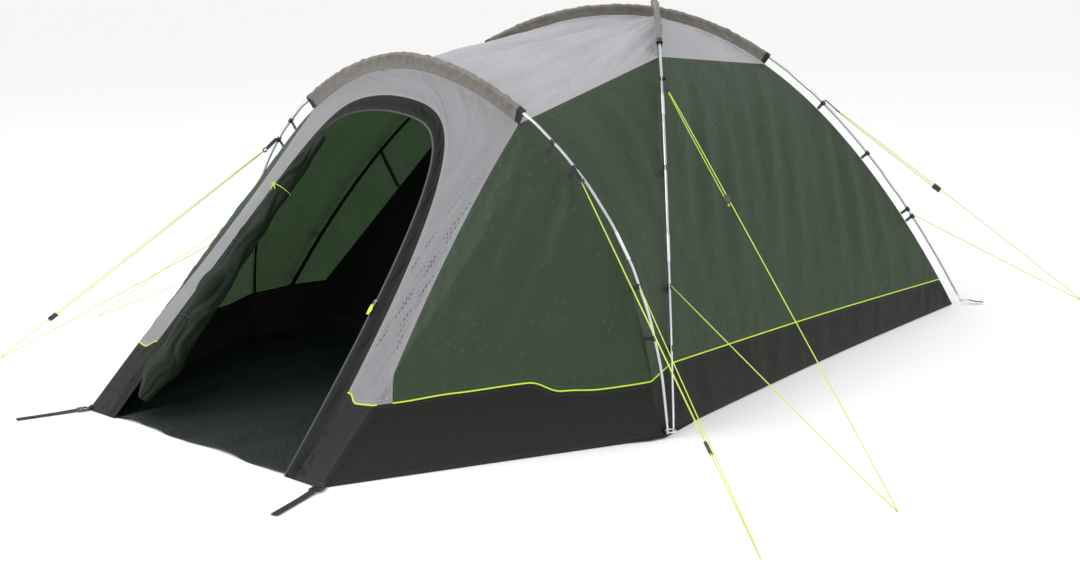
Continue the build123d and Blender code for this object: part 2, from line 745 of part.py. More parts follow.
def inner_foot(leg):
    low, high = 0.3, 1.0
    for _ in range(40):
        middle = (low + high) / 2
        if inner_arch(leg, middle).Z > TUB_HEIGHT:
            low = middle
        else:
            high = middle
    return inner_arch(leg, low)


def inner_edge(leg):
    """The three corners of the inner tent along a leg, from its crown to its tub."""
    return [inner_arch(leg, INNER_CROWN), inner_arch(leg, INNER_SHOULDER), inner_foot(leg)]


tub_corners = [inner_foot(leg) for leg in LEGS]
outline = [(p.X, p.Y) for p in tub_corners]
plan = make_face(Polyline(*outline, close=True))
hollow = offset(plan, amount=-TUB_WALL)
TUB_TOP = TUB_HEIGHT - 0.5
tub = extrude(plan, TUB_TOP) - extrude(Pos(0, 0, TUB_WALL) * hollow, TUB_TOP)
save("inner_floor_tub", tub)

INNER_SIDES = {
    "inner_side_wall_right": (FRONT_RIGHT, REAR_RIGHT),
    "inner_rear_wall": (REAR_RIGHT, REAR_LEFT),
    "inner_side_wall_left": (REAR_LEFT, FRONT_LEFT),
}
for name, (leg_a, leg_b) in INNER_SIDES.items():
    grid = [[blend(a, b, c) for c in spread(0, 1, 4)] for a, b in zip(inner_edge(leg_a), inner_edge(leg_b))]
    save(name, sheet(seamed(grid)))
crown = [inner_edge(leg)[0] for leg in LEGS]
front_top = [[inner_edge(leg)[k] for leg in (FRONT_LEFT, FRONT_RIGHT)] for k in (0, 1)]
save("inner_roof", [sheet(seamed([[crown[3], crown[0]], [crown[2], crown[1]]])), sheet(seamed(front_top))])

shoulder, foot = inner_edge(FRONT_RIGHT)[1], inner_edge(FRONT_RIGHT)[2]
rise = Vector(0, shoulder.Y - foot.Y, shoulder.Z - foot.Z)
wall_plane = Plane(origin=Vector(0, foot.Y, foot.Z), x_dir=(1, 0, 0), z_dir=Vector(1, 0, 0).cross(rise))
wall_height = rise.length
low_half, high_half = foot.X, shoulder.X
t = SEAM_TRIM
wall_outline = [(-low_half + t, t), (low_half - t, t), (high_half - t, wall_height - t), (-high_half + t, wall_height - t)]
flap_low, flap_high = FLAP_MARGIN_BOTTOM, wall_height - FLAP_MARGIN_TOP


def flap_outline(grow):
    low, high = FLAP_BOTTOM_WIDTH / 2 + grow, FLAP_TOP_WIDTH / 2 + grow
    bottom, top = flap_low - grow, flap_high + grow
    return [(-low, bottom), (low, bottom), (high, top), (-high, top)]


wall_face = make_face(Polyline(*wall_outline, close=True))
wall_face -= make_face(Polyline(*flap_outline(FLAP_GAP), close=True))
save("inner_front_wall", extrude(wall_plane * wall_face, CLOTH))
flap_face = make_face(Polyline(*flap_outline(0), close=True))
save("inner_door_flap", extrude(wall_plane * flap_face, CLOTH))
hinge_low = wall_plane.from_local_coords(Vector(-FLAP_BOTTOM_WIDTH / 2, flap_low, CLOTH / 2))
hinge_high = wall_plane.from_local_coords(Vector(-FLAP_TOP_WIDTH / 2, flap_high, CLOTH / 2))
print("inner door hinge", hinge_low, (hinge_high - hinge_low).normalized())
print("door zip slide", park, zip_run, "travel", (low - park).length)

PORCH_SHEET = 1.0
sheet_back = tub_corners[0].Y - 0.6
sheet_points = [
    (-FRONT_HALF_WIDTH + 20, FRONT_Y + 12), (FRONT_HALF_WIDTH - 20, FRONT_Y + 12),
    (HOOP_HALF_WIDTH - 45, HOOP_Y - 20), (tub_corners[0].X, sheet_back),
    (-tub_corners[0].X, sheet_back), (-HOOP_HALF_WIDTH + 45, HOOP_Y - 20),
]
save("porch_groundsheet", extrude(make_face(Polyline(*sheet_points, close=True)), PORCH_SHEET))

# ---- elastic hangers between the inner tent and the outer one -----------------------
HANGER_WIDTH, HANGER_THICKNESS = 12.0, 1.0
HANGER_GAPS = ((1.0, 3.0), (1.0, 3.0), (2.2, 5.4))
hangers = []
for leg in LEGS:
    crown_end, shoulder_end, foot_end = inner_edge(leg)
    low_place = leg_at_height(leg, TUB_HEIGHT, SEAM_GAP)
    middle_place = (INNER_SHOULDER + low_place) / 2
    stops = ((crown_end, INNER_CROWN), (shoulder_end, INNER_SHOULDER))
    stops += ((blend(shoulder_end, foot_end, 0.5), middle_place),)
    for (start, w), (inner_gap, outer_gap) in zip(stops, HANGER_GAPS):
        end = seam(leg, w)
        pull = (end - start).normalized()
        along = (seam(leg, w + 0.01) - seam(leg, w - 0.01)).normalized()
        along = (along - pull * along.dot(pull)).normalized()
        first, last = start + pull * inner_gap, end - pull * outer_gap
        hangers.append(bar(first, last, HANGER_WIDTH, HANGER_THICKNESS, along))
save("inner_hangers", hangers)

# ---- hooks, guy points and guylines -------------------------------------------------
HOOK_INNER = POLE_RADIUS + HOOK_CLEARANCE
HOOK_OUTER = HOOK_INNER + HOOK_WALL
HOOK_SLOT, NECK_WIDTH, NECK_THICKNESS, NECK_GAP = 6.0, 10.0, 2.0, 1.7


def hook(point, foot, along):
    """A clip snapped over the pole, with a neck sewn to the seam of the cloth."""
    inwards = foot - point
    inwards = (inwards - along * inwards.dot(along)).normalized()
    plane = Plane(origin=point - along * (HOOK_LENGTH / 2), x_dir=inwards, z_dir=along)
    section = Circle(HOOK_OUTER) - Circle(HOOK_INNER)
    section -= Pos(-HOOK_OUTER, 0) * Rectangle(HOOK_OUTER, HOOK_SLOT)
    clip = extrude(plane * section, HOOK_LENGTH)
    start = point + inwards * (HOOK_INNER + HOOK_WALL / 2)
    return clip + bar(start, foot - inwards * NECK_GAP, NECK_WIDTH, NECK_THICKNESS, along)


def dome_runs(leg):
    return right_set[0] if leg[0] > 0 else left_set[0]


def leg_seat(leg, w):
    return seat(dome_runs(leg), leg_point(leg, w))[0]


def leg_hook(leg, w):
    point, along = seat(dome_runs(leg), leg_point(leg, w))
    return hook(point, nearest(lambda t: seam(leg, t), w, point), along)


def hoop_hook(u):
    point, along = seat(hoop_set[0], hoop_arch(u))
    return hook(point, nearest(hoop_seam, u, point), along)


def nearest(curve, start, point):
    """The point of a curve nearest to a point, looked for around a start value."""
    tries = [curve(start + 0.002 * k) for k in range(-60, 61) if abs(start + 0.002 * k) < 1]
    return min(tries, key=lambda p: (p - point).length)


save("porch_pole_hooks", [
    hoop_hook(side * u) for side in (1, -1) for u in (*HOOP_HOOKS, HOOP_GUY, HOOP_TIE)
])
for name, legs in (("right", (FRONT_RIGHT, REAR_LEFT)), ("left", (FRONT_LEFT, REAR_RIGHT))):
    hooks = []
    for leg in legs:
        front = leg[1] == "front"
        places = (*FRONT_HOOKS, FRONT_GUY, FRONT_TIE) if front else (*REAR_HOOKS, REAR_GUY, REAR_TIE)
        hooks += [leg_hook(leg, w) for w in places]
    save(f"dome_pole_hooks_{name}", hooks)

# Each guyline starts at a tie on its lower hook, runs out to the peg, turns round it and
# comes back to the guy ring, turns round the ring's wire and ends in a knot past the slider.
GUYLINES = {
    "porch_right": [
        (860.7, -555.0, 405.7), (1626.5, -1076.8, 5.1), (1627.5, -1082.4, 10.7),
        (695.5, -592.7, 674.3), (694.5, -587.1, 668.7), (1410.1, -963.0, 159.2),
    ],
    "front_right": [
        (797.9, -344.2, 363.5), (1695.3, -653.9, 5.2), (1700.6, -651.3, 10.5),
        (525.2, -11.5, 865.0), (519.9, -14.2, 859.6), (901.5, -221.9, 582.2),
    ],
    "rear_right": [
        (615.5, 1254.1, 333.0), (1053.1, 1678.9, 4.4), (1057.3, 1681.6, 10.7),
        (434.8, 1041.1, 713.5), (430.6, 1038.4, 707.2), (688.2, 1303.3, 416.6),
    ],
    "porch_left": [
        (-858.0, -556.8, 404.5), (-1303.1, -1256.2, 5.3), (-1301.3, -1262.5, 10.0),
        (-682.3, -604.8, 670.3), (-684.0, -598.5, 665.7), (-1188.9, -1134.9, 127.1),
    ],
    "front_left": [
        (-797.1, -344.4, 360.0), (-1604.1, -716.7, 5.0), (-1609.6, -714.9, 10.6),
        (-523.6, -11.5, 854.0), (-518.1, -13.3, 848.5), (-827.5, -214.0, 607.9),
    ],
}
TURN_RADIUS = 3.9
KNOT_RADIUS, KNOT_GAP = 3.4, 0.4
for name, places in GUYLINES.items():
    route = [Vector(*p) for p in places]
    radii = [TURN_RADIUS] * (len(route) - 2)
    line = tube(route, radii, CORD_RADIUS)
    length = sum(edge.length for edge in FilletPolyline(*route, radius=radii).edges())
    print(name, "guyline", round(length), "radii", radii, "volume share",
          round(line.volume / (length * pi * CORD_RADIUS**2), 4))
    save(f"guyline_{name}", line + Pos(*route[-1]) * Sphere(KNOT_RADIUS))
    # The slider lies on the two strands next to the knot
    outwards = (route[5] - route[4]).normalized()
    lane = (route[4] - route[3]).normalized()
    low_end = route[5] - outwards * (KNOT_RADIUS + KNOT_GAP)
    centre = low_end - outwards * SLIDER_LENGTH - lane * CORD_LANE
    plane = Plane(origin=centre, x_dir=lane, z_dir=outwards)
    section = RectangleRounded(SLIDER_WIDTH, SLIDER_THICKNESS, 3)
    section -= Pos(CORD_LANE, 0) * Circle(SLIDER_BORE)
    section -= Pos(-CORD_LANE, 0) * Circle(SLIDER_BORE)
    save(f"guyline_slider_{name}", extrude(plane * section, SLIDER_LENGTH))
    print("  slider axis", -outwards, "at", centre)

# Guy straps and rings: each strap leaves its hook square to the pole and turns towards the
# peg, and its ring stands clear of the pole
GUY_GAP, STRAP_RISE, STRAP_WIDTH, STRAP_THICKNESS, RING_GAP = 0.4, 5.0, 12.0, 2.0, 0.3
GUY_SEATS = {
    "porch_right": (seat(hoop_set[0], hoop_arch(HOOP_GUY)), Vector(1624, -1078, 10)),
    "front_right": (seat(dome_runs(FRONT_RIGHT), leg_point(FRONT_RIGHT, FRONT_GUY)), Vector(1695, -651, 10)),
    "rear_right": (seat(dome_runs(REAR_RIGHT), leg_point(REAR_RIGHT, REAR_GUY)), Vector(1053, 1678, 10)),
    "porch_left": (seat(hoop_set[0], hoop_arch(-HOOP_GUY)), Vector(-1300, -1257, 10)),
    "front_left": (seat(dome_runs(FRONT_LEFT), leg_point(FRONT_LEFT, FRONT_GUY)), Vector(-1604, -714, 10)),
    "rear_left": (seat(dome_runs(REAR_LEFT), leg_point(REAR_LEFT, REAR_GUY)), Vector(-1053, 1678, 10)),
}
guy_straps, guy_rings = [], []
for name, ((point, along), peg) in GUY_SEATS.items():
    outwards = (peg - point).normalized()
    square = (outwards - along * outwards.dot(along)).normalized()
    if name in GUYLINES:
        route = [Vector(*p) for p in GUYLINES[name]]
        lane = (route[4] - route[3]).normalized()
    else:
        lane = outwards.cross(Vector(0, 1, 0)).normalized()
    centre = point + outwards * GUY_RING_REACH
    short = GUY_RING_CLEARANCE - (centre - point).dot(square)
    centre += square * max(short, 0.0)
    first = point + square * (HOOK_OUTER + GUY_GAP)
    last = centre - outwards * (GUY_RING_RADIUS + GUY_RING_WIRE + RING_GAP)
    line = [first, first + square * STRAP_RISE, last]
    guy_straps.append(ribbon(line, STRAP_WIDTH, STRAP_THICKNESS, square.cross(along)))
    guy_rings.append(Plane(origin=centre, z_dir=lane).location * Torus(GUY_RING_RADIUS, GUY_RING_WIRE))
save("guy_straps", guy_straps)
save("guy_rings", guy_rings)

# ---- feet: pins in the pole ends, pegging rings, webbing ----------------------------
EYE_RADIUS, EYE_WIRE, PIN_REACH = 4.6, 1.6, 22.0
pins, rings, webbing = [], [], []


def pin(end, along):
    """A rod in the pole's bore with an eye below it; returns it with the eye's centre."""
    rod_low = end - along * PIN_REACH
    rod = extrude(Plane(origin=rod_low, z_dir=along) * Circle(PIN_RADIUS), PIN_REACH + PIN_INSERT)
    return rod, rod_low - along * EYE_RADIUS


def eye(centre, axis):
    return Plane(origin=centre, z_dir=axis).location * Torus(EYE_RADIUS, EYE_WIRE)


def first_end(pole):
    return pole[0][0][0], pole[0][0][1]


def last_end(pole):
    return pole[0][-1][-1], pole[0][-1][-2]


hoop_ends = {-1: first_end(hoop_set), 1: last_end(hoop_set)}
dome_ends = {1: first_end(right_set), -1: first_end(left_set)}
rear_ends = {1: last_end(left_set), -1: last_end(right_set)}
UP = Vector(0, 0, 1)
for side in (1, -1):
    found = []
    for end, next_point in (hoop_ends[side], dome_ends[side]):
        along = (next_point - end).normalized()
        rod, centre = pin(end, along)
        found.append((rod, centre))
    low = min(found[0][1].Z, found[1][1].Z)
    first, second = (Vector(c.X, c.Y, low) for _, c in found)
    axis = UP.cross(second - first)
    for rod, centre in found:
        pins.append(rod + eye(centre, axis))
    middle = (first + second) / 2
    reach = (second - first).length / 2
    level = (found[0][1].Z + found[1][1].Z) / 2
    ring_centre = Vector(middle.X, middle.Y, level)
    rings.append(Pos(*ring_centre) * Torus(reach, PEG_RING_WIRE))
    corner = (hoop_seam(side) + seam(front_leg(side), 1.0)) / 2 + UP * (HEM_HEIGHT + 4)
    inner_side = ring_centre + (corner - ring_centre).normalized() * (reach + PEG_RING_WIRE + 0.4)
    webbing.append(bar(inner_side, corner, WEB_WIDTH, WEB_THICKNESS, Vector(0, 1, 0)))
    tail = [
        ring_centre + Vector(-side * 2, -reach - PEG_RING_WIRE - 0.5, -6),
        Vector(side * (HOOP_HALF_WIDTH - 18), HOOP_Y - 60, 3.0),
        Vector(side * (HOOP_HALF_WIDTH - 50), HOOP_Y - 110, 2.0),
        Vector(side * (HOOP_HALF_WIDTH - 102), HOOP_Y - 150, 2.0),
    ]
    webbing.append(ribbon(tail, 14.0, WEB_THICKNESS, Vector(1, -0.4 * side, 0)))
    end, next_point = rear_ends[side]
    along = (next_point - end).normalized()
    rod, centre = pin(end, along)
    outwards = Vector(side, 0.8, 0).normalized()
    pins.append(rod + eye(centre, UP.cross(outwards)))
    ring_centre = centre + outwards * PEG_RING_RADIUS
    rings.append(Pos(*ring_centre) * Torus(PEG_RING_RADIUS, PEG_RING_WIRE))
    start = ring_centre + outwards * (PEG_RING_RADIUS + PEG_RING_WIRE + 0.4)
    tail = [start, start + outwards * 25 - UP * 6, start + outwards * 50 - UP * 8]
    webbing.append(ribbon(tail, 14.0, WEB_THICKNESS, outwards.cross(UP)))
save("pole_pins", pins)
save("pegging_rings", rings)

# Front corners: a ladder-lock buckle on a short web, and the free tail of the strap
buckles = []
for side in (1, -1):
    corner = porch(side * FOLD, porch_at_height(FOLD, HEM_HEIGHT))
    away = Vector(side * 0.35, -1, 0).normalized()
    across = away.cross(UP)
    lift = Vector(0, 0, 4.5 - HEM_HEIGHT)
    seat = corner + away * 6
    frame_face = RectangleRounded(30, 34, 4) - Pos(-7, 0) * Rectangle(6, 22) - Pos(7, 0) * Rectangle(6, 22)
    centre = seat + away * 22 + lift
    plane = Plane(origin=centre - UP * 2, x_dir=away, z_dir=UP)
    buckles.append(extrude(plane * frame_face, 4.0))
    webbing.append(bar(corner - away * 0.4 - UP * 0.5, centre - away * 15.4, WEB_WIDTH, WEB_THICKNESS, across))
    tail = [centre + away * (15.6 + d) - UP * z for d, z in ((0, 0), (50, 2), (110, 2.5), (170, 2.5))]
    webbing.append(ribbon(tail, WEB_WIDTH, WEB_THICKNESS, across))
save("ladder_lock_buckles", buckles)
save("corner_webbing", webbing)
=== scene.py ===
"""Dome tent for two, pitched, with its porch door open and rolled to the left.

Metres. +Z is up and the porch faces -Y. Two poles cross at the crown of the dome and a
third, the porch hoop, stands in front of it. The cloth is cut to the curves of the poles.
"""
from math import cos, pi, sin

import bpy
import numpy as np
from mathutils import Matrix, Vector


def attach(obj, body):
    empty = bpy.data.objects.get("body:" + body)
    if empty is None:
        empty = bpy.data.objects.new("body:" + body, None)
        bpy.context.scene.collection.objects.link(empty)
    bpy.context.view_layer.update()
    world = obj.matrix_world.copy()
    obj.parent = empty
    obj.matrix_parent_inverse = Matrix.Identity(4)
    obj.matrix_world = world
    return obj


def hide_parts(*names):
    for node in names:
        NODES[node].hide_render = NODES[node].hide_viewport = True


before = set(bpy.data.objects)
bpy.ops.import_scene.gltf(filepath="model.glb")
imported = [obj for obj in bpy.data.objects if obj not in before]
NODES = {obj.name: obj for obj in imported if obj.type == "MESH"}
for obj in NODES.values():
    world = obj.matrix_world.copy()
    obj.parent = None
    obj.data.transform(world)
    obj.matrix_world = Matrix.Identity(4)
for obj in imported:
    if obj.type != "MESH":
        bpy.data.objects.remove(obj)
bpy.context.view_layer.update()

# ---- Ground, light and camera ------------------------------------------------------
# The tent stands on a plain pale studio floor under a large soft light from the upper
# left, with a weaker one on the right to show the shape of the green cloth.
FLOOR_HALF_SIZE = 300.0
FLOOR_COLOUR = (0.92, 0.92, 0.92, 1.0)


def new_material(name, colour=(0.5, 0.5, 0.5), roughness=0.6, metallic=0.0):
    """A material with its Principled shader; returns the material, its tree and shader."""
    material = bpy.data.materials.new(name)
    material.use_nodes = True
    tree = material.node_tree
    shader = tree.nodes["Principled BSDF"]
    shader.inputs["Base Color"].default_value = (*colour[:3], 1.0)
    shader.inputs["Roughness"].default_value = roughness
    shader.inputs["Metallic"].default_value = metallic
    return material, tree, shader


def mesh_object(name, points, faces):
    """A mesh object at the origin from an array of points and an array of quads."""
    mesh = bpy.data.meshes.new(name)
    mesh.from_pydata(points, [], faces)
    mesh.update()
    piece = bpy.data.objects.new(name, mesh)
    bpy.context.scene.collection.objects.link(piece)
    return piece


def smooth_object(name, points, faces, material):
    """A mesh object with smooth shading and its material."""
    piece = mesh_object(name, points, faces)
    piece.data.polygons.foreach_set("use_smooth", np.ones(len(faces), bool))
    piece.data.materials.append(material)
    return piece


floor_corners = [(-1, -1), (1, -1), (1, 1), (-1, 1)]
floor_points = [(x * FLOOR_HALF_SIZE, y * FLOOR_HALF_SIZE, -0.001) for x, y in floor_corners]
floor = mesh_object("studio_floor", floor_points, [(0, 1, 2, 3)])
floor_material, _, _ = new_material("studio_floor", FLOOR_COLOUR, 0.9)
floor.data.materials.append(floor_material)

world = bpy.data.worlds.new("studio")
bpy.context.scene.world = world
world.use_nodes = True
world.node_tree.nodes["Background"].inputs["Color"].default_value = (1.0, 1.0, 1.0, 1.0)
world.node_tree.nodes["Background"].inputs["Strength"].default_value = 1.0


def soft_light(name, place, aim, size, power):
    """A square area light at a place, turned to face the aim point."""
    lamp = bpy.data.lights.new(name, "AREA")
    lamp.size = size
    lamp.energy = power
    holder = bpy.data.objects.new(name, lamp)
    holder.location = place
    holder.rotation_euler = (Vector(aim) - Vector(place)).to_track_quat("-Z", "Y").to_euler()
    bpy.context.scene.collection.objects.link(holder)


soft_light("key_light", (-2.5, -4.5, 6.0), (0.0, 0.0, 0.4), 4.0, 260.0)
soft_light("side_light", (6.5, 0.5, 3.0), (0.5, 0.3, 0.4), 4.0, 60.0)

CAMERA_PLACE = (3.4142, -3.5826, 1.2366)
CAMERA_YAW, CAMERA_PITCH, CAMERA_ROLL = -43.91, -11.60, -1.36
CAMERA_LENS = 51.369
yaw, pitch, roll = (angle * pi / 180 for angle in (CAMERA_YAW, CAMERA_PITCH, CAMERA_ROLL))
ahead = Vector((sin(yaw) * cos(pitch), cos(yaw) * cos(pitch), sin(pitch)))
level = Vector((cos(yaw), -sin(yaw), 0.0))
above = level.cross(ahead)
right_way = level * cos(roll) + above * sin(roll)
up_way = above * cos(roll) - level * sin(roll)
camera = bpy.data.objects.new("camera", bpy.data.cameras.new("camera"))
camera.data.lens = CAMERA_LENS
camera.data.sensor_width = 36.0
camera.data.clip_end = 1000.0
turned = Matrix((right_way, up_way, -ahead)).transposed().to_4x4()
camera.matrix_world = Matrix.Translation(CAMERA_PLACE) @ turned
bpy.context.scene.collection.objects.link(camera)
bpy.context.scene.camera = camera
bpy.context.scene.view_settings.view_transform = "Standard"

# ---- Guylines, their knots and sliders ---------------------------------------------
# Each is 2.8 mm braided cord. It leaves the lower hook of its pole, goes round a peg on
# the ground, back up round the guy ring, and ends in a knot below a black slider.
CORD_DIAMETER = 0.0028
KNOT_RADIUS = 0.0033
LIME = (0.62, 0.88, 0.02)
GUYLINES = {
    "porch_right": [
        (0.8607, -0.5550, 0.4057), (1.6265, -1.0768, 0.0051), (1.6275, -1.0824, 0.0107),
        (0.6955, -0.5927, 0.6743), (0.6945, -0.5871, 0.6687), (1.4101, -0.9630, 0.1592),
    ],
    "front_right": [
        (0.7979, -0.3442, 0.3635), (1.6953, -0.6539, 0.0052), (1.7006, -0.6513, 0.0105),
        (0.5252, -0.0115, 0.8650), (0.5199, -0.0142, 0.8596), (0.9015, -0.2219, 0.5822),
    ],
    "rear_right": [
        (0.6155, 1.2541, 0.3330), (1.0531, 1.6789, 0.0044), (1.0573, 1.6816, 0.0107),
        (0.4348, 1.0411, 0.7135), (0.4306, 1.0384, 0.7072), (0.6882, 1.3033, 0.4166),
    ],
    "porch_left": [
        (-0.8580, -0.5568, 0.4045), (-1.3031, -1.2562, 0.0053), (-1.3013, -1.2625, 0.0100),
        (-0.6823, -0.6048, 0.6703), (-0.6840, -0.5985, 0.6657), (-1.1889, -1.1349, 0.1271),
    ],
    "front_left": [
        (-0.7971, -0.3444, 0.3600), (-1.6041, -0.7167, 0.0050), (-1.6096, -0.7149, 0.0106),
        (-0.5236, -0.0115, 0.8540), (-0.5181, -0.0133, 0.8485), (-0.8275, -0.2140, 0.6079),
    ],
}


def add_node(tree, kind, inputs=None, **settings):
    """A shader node with its settings and its sockets' values or links."""
    node = tree.nodes.new(kind)
    for name, value in settings.items():
        setattr(node, name, value)
    for name, value in (inputs or {}).items():
        if isinstance(value, bpy.types.NodeSocket):
            tree.links.new(value, node.inputs[name])
        else:
            node.inputs[name].default_value = value
    return node


def number(tree, operation, a, b=None, c=None):
    """The result socket of a Math node on two or three values or sockets."""
    given = {i: value for i, value in enumerate((a, b, c)) if value is not None}
    return add_node(tree, "ShaderNodeMath", given, operation=operation).outputs[0]


def noise(tree, place, scale, detail, **more):
    """A Noise texture read at a place, with its scale and detail."""
    given = {"Vector": place, "Scale": scale, "Detail": detail, **more}
    return add_node(tree, "ShaderNodeTexNoise", given)


def mixed(tree, share, colour_a, colour_b):
    """The colour between two colours by a share."""
    given = {0: share, 6: colour_a, 7: colour_b}
    node = add_node(tree, "ShaderNodeMix", given, data_type="RGBA")
    return node.outputs[2]


def shaded(tree, shader, share, dark, light):
    """Feeds the colour between a dark and a light one, by a share, into the shader."""
    shade = mixed(tree, share, (*dark, 1.0), (*light, 1.0))
    tree.links.new(shade, shader.inputs["Base Color"])


def bumped(tree, shader, height, depth, strength=1.0):
    """Feeds a height through a Bump node into the shader's normal."""
    given = {"Height": height, "Distance": depth, "Strength": strength}
    bump = add_node(tree, "ShaderNodeBump", given)
    tree.links.new(bump.outputs["Normal"], shader.inputs["Normal"])


def new_group(name, takes, gives):
    """A shader node group; takes and gives list (name, socket type, start value)."""
    group = bpy.data.node_groups.new(name, "ShaderNodeTree")
    for label, kind, start in takes:
        made = group.interface.new_socket(label, in_out="INPUT", socket_type="NodeSocket" + kind)
        if start is not None:
            made.default_value = start
    for label, kind in gives:
        group.interface.new_socket(label, in_out="OUTPUT", socket_type="NodeSocket" + kind)
    return group, group.nodes.new("NodeGroupInput"), group.nodes.new("NodeGroupOutput")


def use_group(tree, group, **inputs):
    """The group placed in a material with its own values."""
    return add_node(tree, "ShaderNodeGroup", inputs, node_tree=group)


# Braid: two crossing sets of slanted strands around a cord, seen from its own surface
braid, taken, given = new_group(
    "cord_braid", [("Turns", "Float", 600.0), ("Strands", "Float", 6.0)],
    [("Height", "Float"), ("Fleck", "Float")],
)
place = add_node(braid, "ShaderNodeTexCoord").outputs["UV"]
parts = add_node(braid, "ShaderNodeSeparateXYZ", {0: place})
along = number(braid, "MULTIPLY", parts.outputs["X"], taken.outputs["Turns"])
around = number(braid, "MULTIPLY", parts.outputs["Y"], taken.outputs["Strands"])
slant_a, slant_b = (
    number(braid, "SINE", number(braid, "MULTIPLY", number(braid, way, along, around), 2 * pi))
    for way in ("ADD", "SUBTRACT")
)
braid.links.new(number(braid, "MAXIMUM", slant_a, slant_b), given.inputs["Height"])
fleck = number(braid, "GREATER_THAN", number(braid, "MULTIPLY", slant_a, slant_b), 0.75)
braid.links.new(fleck, given.inputs["Fleck"])

cord_material, tree, shader = new_material("guyline_cord", LIME, 0.55)
woven = use_group(tree, braid, Turns=620.0, Strands=6.0)
shaded(tree, shader, woven.outputs["Fleck"], LIME, (0.80, 0.90, 0.45))
bumped(tree, shader, woven.outputs["Height"], 0.0003)
shader.inputs["Sheen Weight"].default_value = 0.2

# Moulded plastic: a fine satin grain with a few brighter rubs, from the piece's place
moulded, taken, given = new_group(
    "moulded_plastic", [("Grain", "Float", 900.0), ("Rubs", "Float", 60.0)],
    [("Roughness", "Float"), ("Height", "Float")],
)
place = add_node(moulded, "ShaderNodeTexCoord").outputs["Object"]
grain = noise(moulded, place, taken.outputs["Grain"], 3.0)
rubs = noise(moulded, place, taken.outputs["Rubs"], 4.0)
rough = number(moulded, "MULTIPLY_ADD", rubs.outputs["Fac"], 0.35, 0.25)
moulded.links.new(rough, given.inputs["Roughness"])
moulded.links.new(grain.outputs["Fac"], given.inputs["Height"])


def plastic(name, colour, grain_scale):
    """Moulded plastic with its grain; the colour is a little paler where it is rubbed."""
    material, tree, shader = new_material(name, colour)
    skin = use_group(tree, moulded, Grain=grain_scale, Rubs=60.0)
    tree.links.new(skin.outputs["Roughness"], shader.inputs["Roughness"])
    paler = tuple(min(1.0, c * 1.8 + 0.01) for c in colour)
    shaded(tree, shader, skin.outputs["Roughness"], paler, colour)
    bumped(tree, shader, skin.outputs["Height"], 0.0002, 0.6)
    return material


black_plastic = plastic("black_plastic", (0.012, 0.012, 0.013), 900.0)


def wears(material, *names):
    """A CAD node keeps its shape and takes the material."""
    for name in names:
        node = NODES[name]
        node.data.materials.clear()
        node.data.materials.append(material)
        node.data.polygons.foreach_set("use_smooth", [True] * len(node.data.polygons))
        node.data.set_sharp_from_angle(angle=0.6)


def closed_grid(rows, columns, closed=True):
    """Quads of a grid of points, whose rows are closed outlines or open ones."""
    around = np.arange(columns if closed else columns - 1)
    i, j = (axis.ravel() for axis in np.meshgrid(np.arange(rows - 1), around, indexing="ij"))
    after = (j + 1) % columns
    corners = (i * columns + j, i * columns + after, (i + 1) * columns + after, (i + 1) * columns + j)
    return np.stack(corners, 1)


def knot_piece(name, centre, radius):
    """A tight overhand knot: a ball whose radius swells and dips along three slanted turns.

    r = radius (0.9 + 0.1 sin(3 longitude + 5 latitude)), with a small cap at each pole.
    """
    rows, columns = 14, 20
    latitude = np.linspace(-1.5, 1.5, rows)[:, None]
    longitude = np.linspace(0, 2 * pi, columns, endpoint=False)[None, :]
    r = radius * (0.9 + 0.1 * np.sin(3 * longitude + 5 * latitude))
    ball = np.stack([
        r * np.cos(latitude) * np.cos(longitude), r * np.cos(latitude) * np.sin(longitude),
        r * np.sin(latitude) * np.ones_like(longitude),
    ], -1) + np.array(centre)
    faces = closed_grid(rows, columns).tolist()
    faces += [list(range(columns))[::-1], list(range((rows - 1) * columns, rows * columns))]
    return smooth_object(name, ball.reshape(-1, 3).tolist(), faces, knot_material)


knot_material, tree, shader = new_material("guyline_knot", LIME, 0.6)
place = add_node(tree, "ShaderNodeTexCoord").outputs["Object"]
strands = add_node(tree, "ShaderNodeTexWave", {"Vector": place, "Scale": 400.0, "Distortion": 2.0})
shaded(tree, shader, strands.outputs["Fac"], (0.5, 0.75, 0.02), (0.72, 0.92, 0.15))
bumped(tree, shader, strands.outputs["Fac"], 0.0003)

for name, route in GUYLINES.items():
    line = bpy.data.curves.new(f"guyline_{name}_cord", "CURVE")
    line.dimensions = "3D"
    line.bevel_depth = CORD_DIAMETER / 2
    line.bevel_resolution = 2
    spline = line.splines.new("NURBS")
    spline.points.add(len(route) - 1)
    spline.points.foreach_set("co", [value for point in route for value in (*point, 1.0)])
    spline.order_u = 3
    spline.use_endpoint_u = True
    spline.resolution_u = 24
    line.use_fill_caps = True
    cord = bpy.data.objects.new(f"guyline_{name}_cord", line)
    bpy.context.scene.collection.objects.link(cord)
    line.materials.append(cord_material)
    knot = knot_piece(f"guyline_{name}_knot", route[-1], KNOT_RADIUS)
    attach(cord, "tent")
    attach(knot, "tent")
    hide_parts(f"guyline_{name}")
    wears(black_plastic, f"guyline_slider_{name}")

